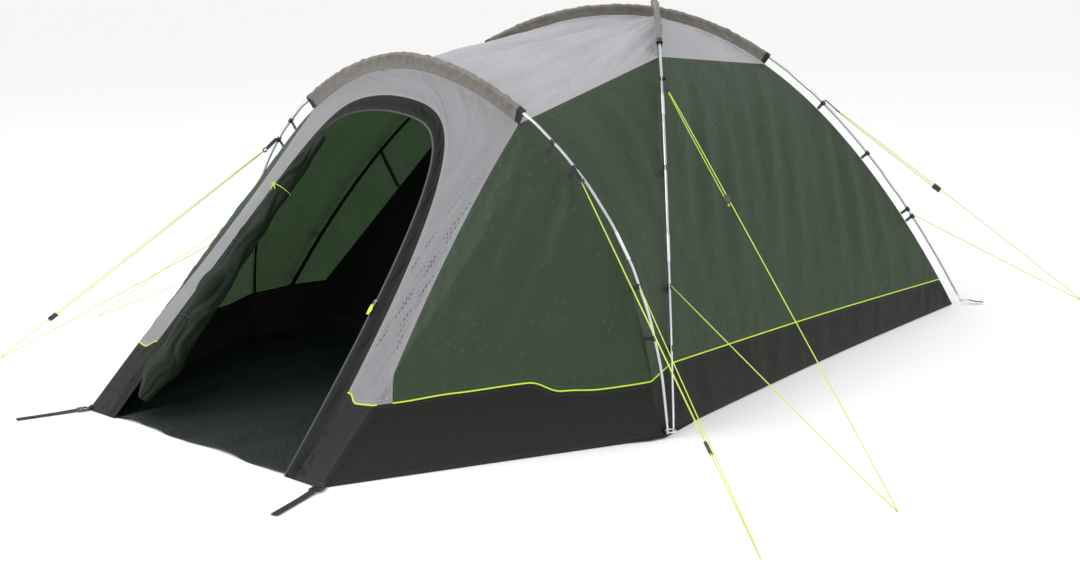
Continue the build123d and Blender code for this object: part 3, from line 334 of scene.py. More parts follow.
# ---- Poles, ferrules, shock cords, pins and pegging rings --------------------------
# The poles are anodised alloy tube in short sections. A drawn sleeve covers each joint,
# an elastic cord runs inside, and a steel pin with an eye sits in each end.
drawn, taken, given = new_group(
    "drawn_metal", [("Scale", "Float", 120.0)],
    [("Roughness", "Float"), ("Shade", "Float"), ("Height", "Float")],
)
place = add_node(drawn, "ShaderNodeTexCoord").outputs["Object"]
marks = noise(drawn, place, taken.outputs["Scale"], 5.0)
scuffs = noise(drawn, place, 14.0, 6.0, Roughness=0.7)
rough = number(drawn, "MULTIPLY_ADD", marks.outputs["Fac"], 0.25, 0.18)
shade = number(drawn, "MULTIPLY_ADD", scuffs.outputs["Fac"], 0.5, 0.25)
drawn.links.new(rough, given.inputs["Roughness"])
drawn.links.new(shade, given.inputs["Shade"])
drawn.links.new(marks.outputs["Fac"], given.inputs["Height"])


def metal(name, dark, light, scale):
    """Bare or anodised metal, between two shades, with drawing marks and scuffs."""
    material, tree, shader = new_material(name, light, 0.3, 1.0)
    skin = use_group(tree, drawn, Scale=scale)
    shaded(tree, shader, skin.outputs["Shade"], dark, light)
    tree.links.new(skin.outputs["Roughness"], shader.inputs["Roughness"])
    bumped(tree, shader, skin.outputs["Height"], 0.00005, 0.5)
    return material


pole_alloy = metal("pole_alloy", (0.42, 0.43, 0.45), (0.74, 0.75, 0.78), 180.0)
bright_steel = metal("bright_steel", (0.60, 0.60, 0.60), (0.90, 0.90, 0.90), 260.0)
wears(pole_alloy, "porch_pole", "dome_pole_right", "dome_pole_left")
wears(bright_steel, "pole_ferrules", "pole_pins", "pegging_rings")

elastic, tree, shader = new_material("elastic_cord", (0.7, 0.7, 0.68), 0.7)
place = add_node(tree, "ShaderNodeTexCoord").outputs["Object"]
sheath = add_node(tree, "ShaderNodeTexVoronoi", {"Vector": place, "Scale": 900.0})
shaded(tree, shader, sheath.outputs["Distance"], (0.25, 0.25, 0.25), (0.8, 0.8, 0.78))
bumped(tree, shader, sheath.outputs["Distance"], 0.0003)
wears(elastic, "pole_shock_cords")

# ---- Cloth: its weave and how a panel is cut, sewn and pulled ----------------------
# The cloth is coated polyester taffeta, 1 mm with its seam allowances (0.6 mm in sleeves
# and tapes). Each panel is a grid worked out from the curves of the poles, with ripples
# from its tension.
CLOTH = 0.001
SHARP_FOLD = 1.2
SEAM_GAP = 0.038
MIDDLE = np.array([0.0, 0.435, 0.15])
HOOP_HALF_WIDTH, REAR_HALF_WIDTH, FRONT_HALF_WIDTH = 0.930, 0.740, 0.535
PORCH_DEPTH, DOME_LENGTH = 0.870, 1.900
DOME_HEIGHT, HOOP_HEIGHT, HOOP_LEAN, FOOT_GAP = 1.100, 0.990, 0.055, 0.012
HOOP_Y = (PORCH_DEPTH - DOME_LENGTH) / 2
FRONT_Y = HOOP_Y - PORCH_DEPTH
DOME_SPAN = HOOP_HALF_WIDTH + REAR_HALF_WIDTH
CROSSING = HOOP_HALF_WIDTH / DOME_SPAN


def unit(rows):
    """Rows of vectors, each divided by its own length."""
    return rows / np.linalg.norm(rows, axis=-1, keepdims=True)


def travel(line):
    """Distance along a line of points, from its first point."""
    return np.concatenate([[0], np.cumsum(np.linalg.norm(np.diff(line, axis=0), axis=1))])


def dome_arch(pole, s, inset=0.0, drop=None):
    """Points of a dome pole's arch, s from its front foot (0) to its rear foot (1).

    The height follows (1 - |2s - 1|^2.1)^0.98 over a straight chord on the ground.
    """
    half_chord = np.hypot(DOME_SPAN, DOME_LENGTH) / 2
    across = (2 * s - 1) * (half_chord - inset) / half_chord
    x = pole * (HOOP_HALF_WIDTH - REAR_HALF_WIDTH) / 2 - pole * across * DOME_SPAN / 2
    y = HOOP_Y + FOOT_GAP + DOME_LENGTH / 2 * (1 + across)
    top = DOME_HEIGHT - (inset if drop is None else drop)
    z = top * np.clip(1 - np.abs(2 * s - 1) ** 2.1, 0, 1) ** 0.98
    return np.stack([x, y, z], -1)


def hoop_arch(u, inset=0.0):
    """Points of the porch hoop, u from its left foot (-1) to its right foot (1).

    The height follows (1 - |u|^1.74)^0.44, and the hoop leans forward with it.
    """
    z = (HOOP_HEIGHT - inset) * np.clip(1 - np.abs(u) ** 1.74, 0, 1) ** 0.44
    y = HOOP_Y - FOOT_GAP - HOOP_LEAN * z / HOOP_HEIGHT
    return np.stack([(HOOP_HALF_WIDTH - inset) * u, y, z], -1)


def leg(side, end, w, inset=SEAM_GAP, drop=None):
    """Points on a leg of the dome, w from the crossing (0) to the foot (1)."""
    front = end == "front"
    s = CROSSING * (1 - w) if front else CROSSING + (1 - CROSSING) * w
    return dome_arch(side if front else -side, s, inset, drop)


def place_at(curve, height):
    """The place between 0.3 and 1 where a curve comes down to a height, by bisection."""
    low, high = 0.3, 1.0
    for _ in range(40):
        middle = (low + high) / 2
        low, high = (middle, high) if curve(middle)[2] > height else (low, middle)
    return low


def ripples(a, b, wavelength, seed, waves=9):
    """Soft uneven ripples, about 1 high: a sum of plane waves in seeded directions."""
    draw = np.random.default_rng(seed)
    total = 0.0
    for _ in range(waves):
        turn, phase = draw.uniform(0, 2 * pi, 2)
        k = 2 * pi / (wavelength * draw.uniform(0.7, 1.5))
        total = total + np.sin(k * (a * cos(turn) + b * sin(turn)) + phase)
    return total / np.sqrt(waves / 2)


def reach(points, axis):
    """Distance along a grid of points, added up along an axis and centred on it."""
    step = np.linalg.norm(np.diff(points, axis=axis), axis=-1)
    start = np.zeros_like(np.take(step, [0], axis=axis))
    return np.cumsum(np.concatenate([start, step], axis=axis), axis=axis)


def surface_normals(points, away=MIDDLE):
    """Unit normals of a grid, from its neighbours' differences, pointing from `away`."""
    normal = np.cross(np.gradient(points, axis=0), np.gradient(points, axis=1))
    size = np.linalg.norm(normal, axis=-1, keepdims=True)
    normal = normal / np.where(size > 1e-12, size, 1.0)
    centre = points.shape[0] // 2, points.shape[1] // 2
    return normal if normal[centre] @ (points[centre] - away) > 0 else -normal


def pulled(points, seams="tblr", pucker=0.0012, fold=0.0035, seed=1, folds_along=1, away=MIDDLE):
    """A grid of cloth with the marks of its tension, which die out at its edges.

    Along sewn edges short puckers stand square to the seam and fade over 50 mm. Over the
    middle long folds run along one direction of the grid, eight times as long as wide.
    """
    rows, columns = reach(points, 0), reach(points, 1)
    to = {"t": rows, "b": rows[-1:] - rows, "l": columns, "r": columns[:, -1:] - columns}
    edge = np.minimum.reduce([to[k] for k in "tblr"])
    fade = 1 - np.exp(-(edge / 0.012) ** 2)
    long_way, short_way = (rows, columns) if folds_along else (columns, rows)
    height = fold * ripples(long_way / 6, short_way, 0.13, seed) * (1 - np.exp(-edge / 0.08))
    height = height + fold * 0.25 * ripples(long_way / 3, short_way, 0.045, seed + 7)
    for k in seams:
        along = columns if k in "tb" else rows
        marks = ripples(along, 0.15 * to[k], 0.034, seed + 3)
        height = height + pucker * marks * np.exp(-to[k] / 0.045)
    return points + surface_normals(points, away) * (height * fade)[..., None]


def cloth_piece(name, grids, material, node=None, body="tent", away=MIDDLE,
                thickness=CLOTH, declared=True):
    """One piece of cloth from one or more grids of points, closed with an inner face.

    The inner grid is the outer one moved back along its normals. The UV map is in metres
    across and down the cloth; "hem" is the distance to the nearest edge and "along" the
    distance along that edge, for the stitching.
    """
    verts, faces, uvs, hems, alongs = [], [], [], [], []
    base, area, width, length = 0, 0.0, 0.0, 0.0
    for points in grids:
        n, m = points.shape[:2]
        normal = surface_normals(points, away)
        down, across = reach(points, 0), reach(points, 1)
        four = np.stack([down, down[-1:] - down, across, across[:, -1:] - across])
        hem = four.min(0)
        along = np.where(four.argmin(0) < 2, across, down)
        quads = closed_grid(n, m, closed=False)
        p, q = points.reshape(-1, 3)[quads[:, 0]], points.reshape(-1, 3)[quads[:, 2]]
        r, s = points.reshape(-1, 3)[quads[:, 1]], points.reshape(-1, 3)[quads[:, 3]]
        crossed = np.cross(q - p, s - r)
        area += np.linalg.norm(crossed, axis=1).sum() / 2
        width, length = width + across[:, -1].max(), max(length, down[-1].max())
        middle_face = crossed[len(crossed) // 2]
        middle_normal = normal[n // 2, m // 2]
        outer = quads if middle_face @ middle_normal > 0 else quads[:, ::-1]
        inner = outer[:, ::-1] + n * m
        ring = np.concatenate([
            np.arange(m), np.arange(2, n) * m - 1, [n * m - 1],
            np.arange(n * m - 2, n * m - m - 1, -1), np.arange((n - 2) * m, 0, -m),
        ])
        after = np.roll(ring, -1)
        rim = np.stack([ring, ring + n * m, after + n * m, after], 1)
        rim = rim if middle_face @ middle_normal > 0 else rim[:, ::-1]
        verts += [points.reshape(-1, 3), (points - normal * thickness).reshape(-1, 3)]
        faces += [outer + base, inner + base, rim + base]
        flat = np.stack([across, down], -1).reshape(-1, 2)
        uvs += [flat, flat]
        hems += [hem.ravel(), hem.ravel()]
        alongs += [along.ravel(), along.ravel()]
        base += 2 * n * m
    faces = np.concatenate(faces)
    piece = smooth_object(name, np.concatenate(verts).tolist(), faces.tolist(), material)
    mesh = piece.data
    mesh.set_sharp_from_angle(angle=SHARP_FOLD)
    layer = mesh.uv_layers.new(name="UVMap")
    layer.data.foreach_set("uv", np.concatenate(uvs)[faces.ravel()].astype(np.float32).ravel())
    for label, values in (("hem", hems), ("along", alongs)):
        attribute = mesh.attributes.new(label, "FLOAT", "POINT")
        attribute.data.foreach_set("value", np.concatenate(values).astype(np.float32))
    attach(piece, body)
    if node:
        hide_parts(node)
    if declared:
        width = min(width, area / (0.5 * length))
    return piece


# Weave: crossing yarns, a stronger yarn every 5 mm, dimples where the coating has sunk
# in, creases left from packing, and slow changes of shade over the cloth
weave, taken, given = new_group(
    "taffeta_weave",
    [("Colour", "Color", (0.5, 0.5, 0.5, 1.0)), ("Yarns", "Float", 900.0),
     ("Ripstop", "Float", 0.3), ("Dimples", "Float", 0.3), ("Creases", "Float", 1.0)],
    [("Colour", "Color"), ("Roughness", "Float"), ("Height", "Float")],
)
place = add_node(weave, "ShaderNodeTexCoord").outputs["UV"]
parts = add_node(weave, "ShaderNodeSeparateXYZ", {0: place})
yarn_waves = []
for axis in ("X", "Y"):
    turns = number(weave, "MULTIPLY", parts.outputs[axis], taken.outputs["Yarns"])
    yarn_waves.append(number(weave, "SINE", number(weave, "MULTIPLY", turns, 2 * pi)))
yarns = number(weave, "MULTIPLY_ADD", number(weave, "MULTIPLY", *yarn_waves), 0.5, 0.5)
rip_lines = []
for axis in ("X", "Y"):
    share = number(weave, "FRACT", number(weave, "MULTIPLY", parts.outputs[axis], 200.0))
    rip_lines.append(number(weave, "LESS_THAN", share, 0.10))
rip = number(weave, "MULTIPLY", number(weave, "MAXIMUM", *rip_lines), taken.outputs["Ripstop"])
sunk = add_node(weave, "ShaderNodeTexVoronoi", {"Vector": place, "Scale": 42.0, "Randomness": 0.75})
deep = number(weave, "SUBTRACT", 1.0, number(weave, "MULTIPLY", sunk.outputs["Distance"], 2.6))
dimple = number(weave, "MAXIMUM", deep, 0.0)
chosen = add_node(weave, "ShaderNodeSeparateColor", {0: sunk.outputs["Color"]}).outputs[0]
dimple = number(weave, "MULTIPLY", dimple, number(weave, "GREATER_THAN", chosen, 0.62))
dimple = number(weave, "MULTIPLY", dimple, taken.outputs["Dimples"])
packed = noise(weave, place, 26.0, 4.0, Distortion=1.2)
crease = number(weave, "ABSOLUTE", number(weave, "SUBTRACT", packed.outputs["Fac"], 0.5))
crease = number(weave, "MULTIPLY", number(weave, "MINIMUM", crease, 0.12), taken.outputs["Creases"])
slow = noise(weave, place, 5.0, 3.0)
shade = number(weave, "MULTIPLY_ADD", slow.outputs["Fac"], 0.30, 0.82)
shade = number(weave, "ADD", shade, number(weave, "MULTIPLY", rip, 0.12))
shade = number(weave, "ADD", shade, number(weave, "MULTIPLY", dimple, 0.55))
given_colour = {0: taken.outputs["Colour"], 1: shade}
tinted = add_node(weave, "ShaderNodeVectorMath", given_colour, operation="MULTIPLY")
weave.links.new(tinted.outputs[0], given.inputs["Colour"])
rough = number(weave, "MULTIPLY_ADD", slow.outputs["Fac"], 0.16, 0.48)
rough = number(weave, "SUBTRACT", rough, number(weave, "MULTIPLY", dimple, 0.12))
weave.links.new(rough, given.inputs["Roughness"])
height = number(weave, "MULTIPLY_ADD", yarns, 0.10, number(weave, "MULTIPLY", rip, 0.15))
height = number(weave, "ADD", height, number(weave, "MULTIPLY", crease, 7.0))
height = number(weave, "SUBTRACT", height, number(weave, "MULTIPLY", dimple, 0.8))
weave.links.new(height, given.inputs["Height"])

# Stitching: two rows of lockstitch beside each edge, and the doubled cloth of the seam
stitching, taken, given = new_group(
    "lockstitch_rows",
    [("First row", "Float", 0.004), ("Second row", "Float", 0.011), ("Stitch", "Float", 0.004)],
    [("Thread", "Float"), ("Seam", "Float"), ("Height", "Float")],
)
hem = add_node(stitching, "ShaderNodeAttribute", attribute_name="hem").outputs["Fac"]
along = add_node(stitching, "ShaderNodeAttribute", attribute_name="along").outputs["Fac"]
dash = number(stitching, "FRACT", number(stitching, "DIVIDE", along, taken.outputs["Stitch"]))
dash = number(stitching, "LESS_THAN", dash, 0.72)
rows = []
for row in ("First row", "Second row"):
    off = number(stitching, "ABSOLUTE", number(stitching, "SUBTRACT", hem, taken.outputs[row]))
    rows.append(number(stitching, "LESS_THAN", off, 0.0007))
either = number(stitching, "MAXIMUM", *rows)
thread = number(stitching, "MULTIPLY", either, dash)
stitching.links.new(thread, given.inputs["Thread"])
lap = number(stitching, "LESS_THAN", hem, number(stitching, "ADD", taken.outputs["Second row"], 0.003))
stitching.links.new(lap, given.inputs["Seam"])
sunk_row = number(stitching, "MULTIPLY", either, -0.6)
raised = number(stitching, "ADD", sunk_row, number(stitching, "MULTIPLY", lap, 0.8))
stitching.links.new(raised, given.inputs["Height"])

# Dust: pale dirt splashed up from the ground, strongest at the foot
dust, taken, given = new_group("ground_dust", [("Height", "Float", 0.12)], [("Mask", "Float")])
place = add_node(dust, "ShaderNodeTexCoord").outputs["Object"]
level_z = add_node(dust, "ShaderNodeSeparateXYZ", {0: place}).outputs["Z"]
rise = number(dust, "SUBTRACT", 1.0, number(dust, "DIVIDE", level_z, taken.outputs["Height"]))
specks = noise(dust, place, 38.0, 6.0, Roughness=0.7)
spread_out = number(dust, "MULTIPLY", number(dust, "MAXIMUM", rise, 0.0), specks.outputs["Fac"])
dust.links.new(number(dust, "MINIMUM", spread_out, 1.0), given.inputs["Mask"])


PALE_DUST = (0.30, 0.27, 0.22)


def cloth_material(name, colour, thread, yarns=900.0, ripstop=0.3, dimples=0.3, creases=1.0,
                   depth=0.0008, lets_through=0.15, dusty=0.0, sheen=0.04, seam_shade=0.9,
                   gloss=0.3, glow_gain=1.0):
    """Coated cloth with its weave, stitched edges and dust, that lets some light through.

    The face that is met from behind is clear, so that the two faces of a piece pass light
    as one thickness of cloth. glow_gain makes the light that comes through brighter.
    """
    material, tree, shader = new_material(name, colour)
    woven = use_group(tree, weave, Colour=(*colour, 1.0), Yarns=yarns, Ripstop=ripstop,
                      Dimples=dimples, Creases=creases)
    sewn = use_group(tree, stitching)
    darker = tuple(c * seam_shade for c in colour)
    lap_share = number(tree, "MULTIPLY", sewn.outputs["Seam"], 0.6)
    seamed = mixed(tree, lap_share, woven.outputs["Colour"], (*darker, 1.0))
    threaded = mixed(tree, sewn.outputs["Thread"], seamed, (*thread, 1.0))
    if dusty:
        soiled = use_group(tree, dust, Height=0.14)
        amount = number(tree, "MULTIPLY", soiled.outputs["Mask"], dusty)
        threaded = mixed(tree, amount, threaded, (*PALE_DUST, 1.0))
    tree.links.new(threaded, shader.inputs["Base Color"])
    tree.links.new(woven.outputs["Roughness"], shader.inputs["Roughness"])
    shader.inputs["Sheen Weight"].default_value = sheen
    shader.inputs["Specular IOR Level"].default_value = gloss
    sewn_height = number(tree, "MULTIPLY", sewn.outputs["Height"], 0.5)
    bumped(tree, shader, number(tree, "ADD", woven.outputs["Height"], sewn_height), depth)
    if lets_through:
        brighter = {0: threaded, 1: (glow_gain,) * 3}
        lit = add_node(tree, "ShaderNodeVectorMath", brighter, operation="MULTIPLY")
        glow = add_node(tree, "ShaderNodeBsdfTranslucent", {"Color": lit.outputs[0]})
        both_ways = {0: lets_through, 1: shader.outputs[0], 2: glow.outputs[0]}
        blend = add_node(tree, "ShaderNodeMixShader", both_ways)
        clear = add_node(tree, "ShaderNodeBsdfTransparent")
        behind = add_node(tree, "ShaderNodeNewGeometry").outputs["Backfacing"]
        faces = {0: behind, 1: blend.outputs[0], 2: clear.outputs[0]}
        cloth = add_node(tree, "ShaderNodeMixShader", faces)
        tree.links.new(cloth.outputs[0], tree.nodes["Material Output"].inputs["Surface"])
    return material


grey_cloth = cloth_material("grey_cloth", (0.42, 0.42, 0.445), (0.60, 0.60, 0.62), dimples=0.22)
# Painted shade: the arch is the same grey cloth as the roof, with a darker colour and thread painted in
# for the shade it stands in; its creases are also softer
arch_grey_painted_shade = cloth_material("arch_grey_painted_shade", (0.27, 0.27, 0.285), (0.48, 0.48, 0.50),
                            dimples=0.22, creases=0.8, depth=0.0006)
green_cloth = cloth_material("green_cloth", (0.034, 0.062, 0.030), (0.08, 0.12, 0.07), dimples=0.9,
                             lets_through=0.30, glow_gain=2.0, gloss=0.35)
charcoal_cloth = cloth_material("charcoal_cloth", (0.013, 0.0145, 0.0125), (0.05, 0.055, 0.048),
                                ripstop=0.5, dimples=0.15, dusty=0.06, lets_through=0.04,
                                gloss=0.15, sheen=0.0)
border_cloth = cloth_material("border_cloth", (0.009, 0.0105, 0.009), (0.045, 0.05, 0.045),
                              ripstop=0.5, dimples=0.15, lets_through=0.03, gloss=0.12, sheen=0.0)
dark_green_cloth = cloth_material("dark_green_cloth", (0.012, 0.021, 0.013), (0.05, 0.07, 0.05),
                                  dimples=0.1, gloss=0.2, sheen=0.02)

# ---- Outer tent: roof, cap, green sides and gussets --------------------------------
# The roof is light grey from the hoop over the crown, the sides and rear are green. Each
# panel hangs 38 mm below the poles and is sewn to the sleeves and to its neighbours.
HOOP_SLEEVE_END, FRONT_SLEEVE_END, REAR_SLEEVE_END = 0.505, 0.41, 0.36
PIPING_FRONT, PIPING_REAR, HEM_HEIGHT = 0.165, 0.095, 0.0012
CROWN_START = 0.02
SIDE_SAG = 0.016
LEG_ENDS = {"front": (FRONT_SLEEVE_END, PIPING_FRONT), "rear": (REAR_SLEEVE_END, PIPING_REAR)}
FACES = {
    "right": ((1, "front"), (1, "rear")),
    "left": ((-1, "rear"), (-1, "front")),
    "rear": ((1, "rear"), (-1, "rear")),
}


def sleeve_end(one_leg):
    """Place on a leg where its sleeve and the grey cloth end."""
    return LEG_ENDS[one_leg[1]][0]


def place_on(one_leg, height):
    """Place on a leg's seam at a height."""
    return place_at(lambda w: leg(*one_leg, np.array(w)), height)


def dome_face(leg_a, leg_b, range_a, range_b, rows, columns):
    """Cloth between two legs: straight across, drawn in by up to 16 mm in the middle."""
    t, c = np.linspace(0, 1, rows)[:, None], np.linspace(0, 1, columns)[None, :, None]
    a = leg(*leg_a, range_a[0] + (range_a[1] - range_a[0]) * t)
    b = leg(*leg_b, range_b[0] + (range_b[1] - range_b[0]) * t)
    points = a * (1 - c) + b * c
    inward = unit((MIDDLE - points) * np.array([1, 1, 0]))
    span = np.linalg.norm(b - a, axis=-1, keepdims=True)
    return points + inward * SIDE_SAG * 4 * c * (1 - c) * np.minimum(1, span / DOME_LENGTH)


TAPE_DEPTH, SEAM_TAPE_WIDTH = 0.0022, 0.0095


def seam_strip(grid, edge):
    """A strip of tape inside one edge of a panel, 2.2 mm under its outer face.

    Its far side lies a tape's width from the edge, along the panel's own grid lines.
    """
    turned = grid if edge in "tb" else grid.transpose(1, 0, 2)
    normal = surface_normals(grid)
    normal = normal if edge in "tb" else normal.transpose(1, 0, 2)
    first, second = (0, 1) if edge in "tl" else (-1, -2)
    step = turned[second] - turned[first]
    step = step / np.maximum(np.linalg.norm(step, axis=1, keepdims=True), 1e-6)
    sunk = normal[first] * TAPE_DEPTH
    return np.stack([turned[first] - sunk, turned[first] + step * SEAM_TAPE_WIDTH - sunk], 1)


mud_grids, caps, piping_lines, seam_strips = {}, [], [], []
for name, (leg_a, leg_b) in FACES.items():
    ends_a, ends_b = sleeve_end(leg_a), sleeve_end(leg_b)
    pipe_a, pipe_b = (place_on(one_leg, LEG_ENDS[one_leg[1]][1]) for one_leg in (leg_a, leg_b))
    hem_a, hem_b = place_on(leg_a, HEM_HEIGHT), place_on(leg_b, HEM_HEIGHT)
    seed = len(name)
    cap = dome_face(leg_a, leg_b, (CROWN_START, ends_a), (CROWN_START, ends_b), 60, 50)
    caps.append(pulled(cap, pucker=0.0010, fold=0.0020, seed=seed))
    wall = dome_face(leg_a, leg_b, (ends_a, pipe_a), (ends_b, pipe_b), 100, 130)
    wall = pulled(wall, fold=0.0028, seed=seed + 20)
    cloth_piece(f"dome_cloth_{name}", [wall], green_cloth,
                node="rear_panel" if name == "rear" else f"dome_side_panel_{name}")
    mud = dome_face(leg_a, leg_b, (pipe_a, hem_a), (pipe_b, hem_b), 20, 130)
    mud_grids[name] = [pulled(mud, fold=0.0030, seed=seed + 40, folds_along=1)]
    piping_lines.append(wall[-1])
    seam_strips += [seam_strip(wall, edge) for edge in "tblr"]
cloth_piece("crown_cloth", caps, grey_cloth, node="roof_cap_panels")

share = np.linspace(-1, 1, 121)[:, None]
near = hoop_arch(share * HOOP_SLEEVE_END, SEAM_GAP)
far = np.where(share[..., None] >= 0, leg(1, "front", np.abs(share) * FRONT_SLEEVE_END),
               leg(-1, "front", np.abs(share) * FRONT_SLEEVE_END))
across = np.linspace(0, 1, 60)[None, :, None]
roof = pulled(near * (1 - across) + far * across, fold=0.0030, seed=5, folds_along=0)
cloth_piece("roof_cloth", [roof], grey_cloth, node="roof_front_panel")

GUSSET_FOOT = 0.150
hoop_place = lambda height: place_at(lambda u: hoop_arch(np.array(u), SEAM_GAP), height)
for side, name in ((1, "right"), (-1, "left")):
    leg_low, leg_hem = place_on((side, "front"), PIPING_FRONT), place_on((side, "front"), HEM_HEIGHT)
    top_z = float(hoop_arch(np.array(HOOP_SLEEVE_END), SEAM_GAP)[2])
    heights = np.linspace(top_z, GUSSET_FOOT, 90)
    u = np.array([hoop_place(h) for h in heights])[:, None]
    w = np.linspace(FRONT_SLEEVE_END, leg_low, 90)[:, None]
    q = np.linspace(0, 1, 40)[None, :, None]
    upper = hoop_arch(side * u, SEAM_GAP) * (1 - q) + leg(side, "front", w) * q
    upper = pulled(upper, fold=0.0030, seed=11 + side)
    cloth_piece(f"gusset_cloth_{name}", [upper], green_cloth,
                node=f"hoop_gusset_panel_{name}")
    piping_lines.append(upper[-1])
    seam_strips += [seam_strip(upper, edge) for edge in "blr"]
    heights = np.linspace(GUSSET_FOOT, HEM_HEIGHT, 20)
    u = np.array([hoop_place(h) for h in heights])[:, None]
    w = np.linspace(leg_low, leg_hem, 20)[:, None]
    foot = hoop_arch(side * u, SEAM_GAP) * (1 - q) + leg(side, "front", w) * q
    mud_grids[name].append(pulled(foot, fold=0.0015, seed=15 + side))

# ---- Porch front: grey arch, dark door border and green sides ----------------------
# The porch cloth runs straight from the hoop to its outline on the ground. The doorway is
# cut out of it as an arch, bound with a wide dark border that carries the zip.
FOLD = 0.6
ARCH_EASE = 2.5
DOOR_TOP, DOOR_HALF_WIDTH, DOOR_POWER = 0.118, 0.447, 6.45
BORDER_TOP, BORDER_HALF_WIDTH, BORDER_POWER = 0.078, 0.515, 5.3
PORCH_SLOPE = np.hypot(PORCH_DEPTH, HOOP_HEIGHT)
FRONT_SCALE = FRONT_HALF_WIDTH / FOLD


def porch(u, v):
    """Points of the porch cloth, between the hoop's seam (v 0) and the ground (v 1).

    The ground outline is level with the front edge up to |u| = 0.6, where the cloth folds,
    and then runs straight back to the foot of the hoop.
    """
    u, v = np.broadcast_arrays(u, v)
    a = np.abs(u)
    beyond = np.maximum(a - FOLD, 0) / (1 - FOLD)
    x = FRONT_HALF_WIDTH * np.minimum(a / FOLD, 1) + (HOOP_HALF_WIDTH - FRONT_HALF_WIDTH) * beyond
    y = FRONT_Y + (HOOP_Y - FOOT_GAP - FRONT_Y) * beyond
    ground = np.stack([np.sign(u) * x, y, np.zeros_like(x)], -1)
    return hoop_arch(u, SEAM_GAP) * (1 - v[..., None]) + ground * v[..., None]


def porch_at(u, height):
    """The v on the porch cloth that lies at a height."""
    return np.clip(1 - height / np.maximum(hoop_arch(u, SEAM_GAP)[..., 2], 1e-6), 0, 1)


def arch_edge(part, top, half_width, power):
    """(u, v) on an arch, part from -1 (left foot) over 0 (its top) to 1 (right foot).

    u = half width |part|^(2.5 / power) and v = top + (1 - top) |part|^2.5.
    """
    u = half_width * np.abs(part) ** (ARCH_EASE / power) * np.sign(part)
    return u, top + (1 - top) * np.abs(part) ** ARCH_EASE


def arch_part(v, top):
    """The part of an arch at a v, the inverse of arch_edge."""
    return (np.maximum(v - top, 0) / (1 - top)) ** (1 / ARCH_EASE)


def door_edge(part, inset=0.0):
    """Inner edge of the border, moved into the doorway by the inset in metres."""
    half_width = DOOR_HALF_WIDTH - inset / FRONT_SCALE
    return arch_edge(part, DOOR_TOP + inset / PORCH_SLOPE, half_width, DOOR_POWER)


def border_edge(part):
    """Outer edge of the border, where the grey arch begins."""
    return arch_edge(part, BORDER_TOP, BORDER_HALF_WIDTH, BORDER_POWER)


def panel_seam(v):
    """u of the seam between the grey arch and the green side."""
    return HOOP_SLEEVE_END + 0.2 * v ** 2


def between(edge_a, edge_b, count):
    """Porch points straight between two rows of (u, v) places."""
    t = np.linspace(0, 1, count)[None, :]
    u = edge_a[0][:, None] * (1 - t) + edge_b[0][:, None] * t
    v = edge_a[1][:, None] * (1 - t) + edge_b[1][:, None] * t
    return porch(u, v)


PIPING_U = np.array([0.0, 0.495, 0.54, 0.625, 0.70, 0.795, 0.85, 0.90, 1.0])
PIPING_Z = np.array([0.184, 0.184, 0.166, 0.169, 0.176, 0.181, 0.152, 0.146, 0.150])


def piping_height(u):
    """Height of the piping along the porch, eased by cosines between sewn marks."""
    a = np.abs(u)
    k = np.clip(np.searchsorted(PIPING_U, a) - 1, 0, len(PIPING_U) - 2)
    t = (a - PIPING_U[k]) / (PIPING_U[k + 1] - PIPING_U[k])
    return PIPING_Z[k] + (PIPING_Z[k + 1] - PIPING_Z[k]) * (1 - np.cos(pi * np.clip(t, 0, 1))) / 2


seam_foot = 0.75
for _ in range(30):
    seam_foot = float(porch_at(np.array(panel_seam(seam_foot)), piping_height(panel_seam(seam_foot))))
border_foot_v = float(porch_at(np.array(BORDER_HALF_WIDTH), piping_height(BORDER_HALF_WIDTH)))
border_foot = float(arch_part(border_foot_v, BORDER_TOP))
ARCH_TURN, FOOT_FADE = 0.53, 0.03
share = np.linspace(-1, 1, 241)
down = np.clip((np.abs(share) - ARCH_TURN) / (1 - ARCH_TURN), 0, 1) * seam_foot
outer_u = np.where(down > 0, np.sign(share) * panel_seam(down), share / ARCH_TURN * HOOP_SLEEVE_END)
edge_u, edge_v = border_edge(share * border_foot)
t = np.linspace(0, 1, 30)[None, :]
arch_u = outer_u[:, None] * (1 - t) + edge_u[:, None] * t
arch_v = down[:, None] * (1 - t) + edge_v[:, None] * t
for end in (0, -1):
    lack = porch_at(arch_u[end], piping_height(arch_u[end])) - arch_v[end]
    arch_v = arch_v + lack * np.exp(-np.abs(share - share[end]) / FOOT_FADE)[:, None]
arch = porch(arch_u, arch_v)
arch = pulled(arch, seams="tblr", pucker=0.0012, fold=0.0018, seed=31, folds_along=0)
cloth_piece("porch_arch_cloth", [arch], arch_grey_painted_shade, node="porch_arch_panel")

hem_part = float(arch_part(float(porch_at(np.array(DOOR_HALF_WIDTH), HEM_HEIGHT)), DOOR_TOP))
parts_row = np.linspace(-hem_part, hem_part, 241)
border = between(border_edge(parts_row), door_edge(parts_row), 16)
border = pulled(border, pucker=0.0012, fold=0.0012, seed=33, folds_along=0)
cloth_piece("door_border_cloth", [border], border_cloth, node="door_border")

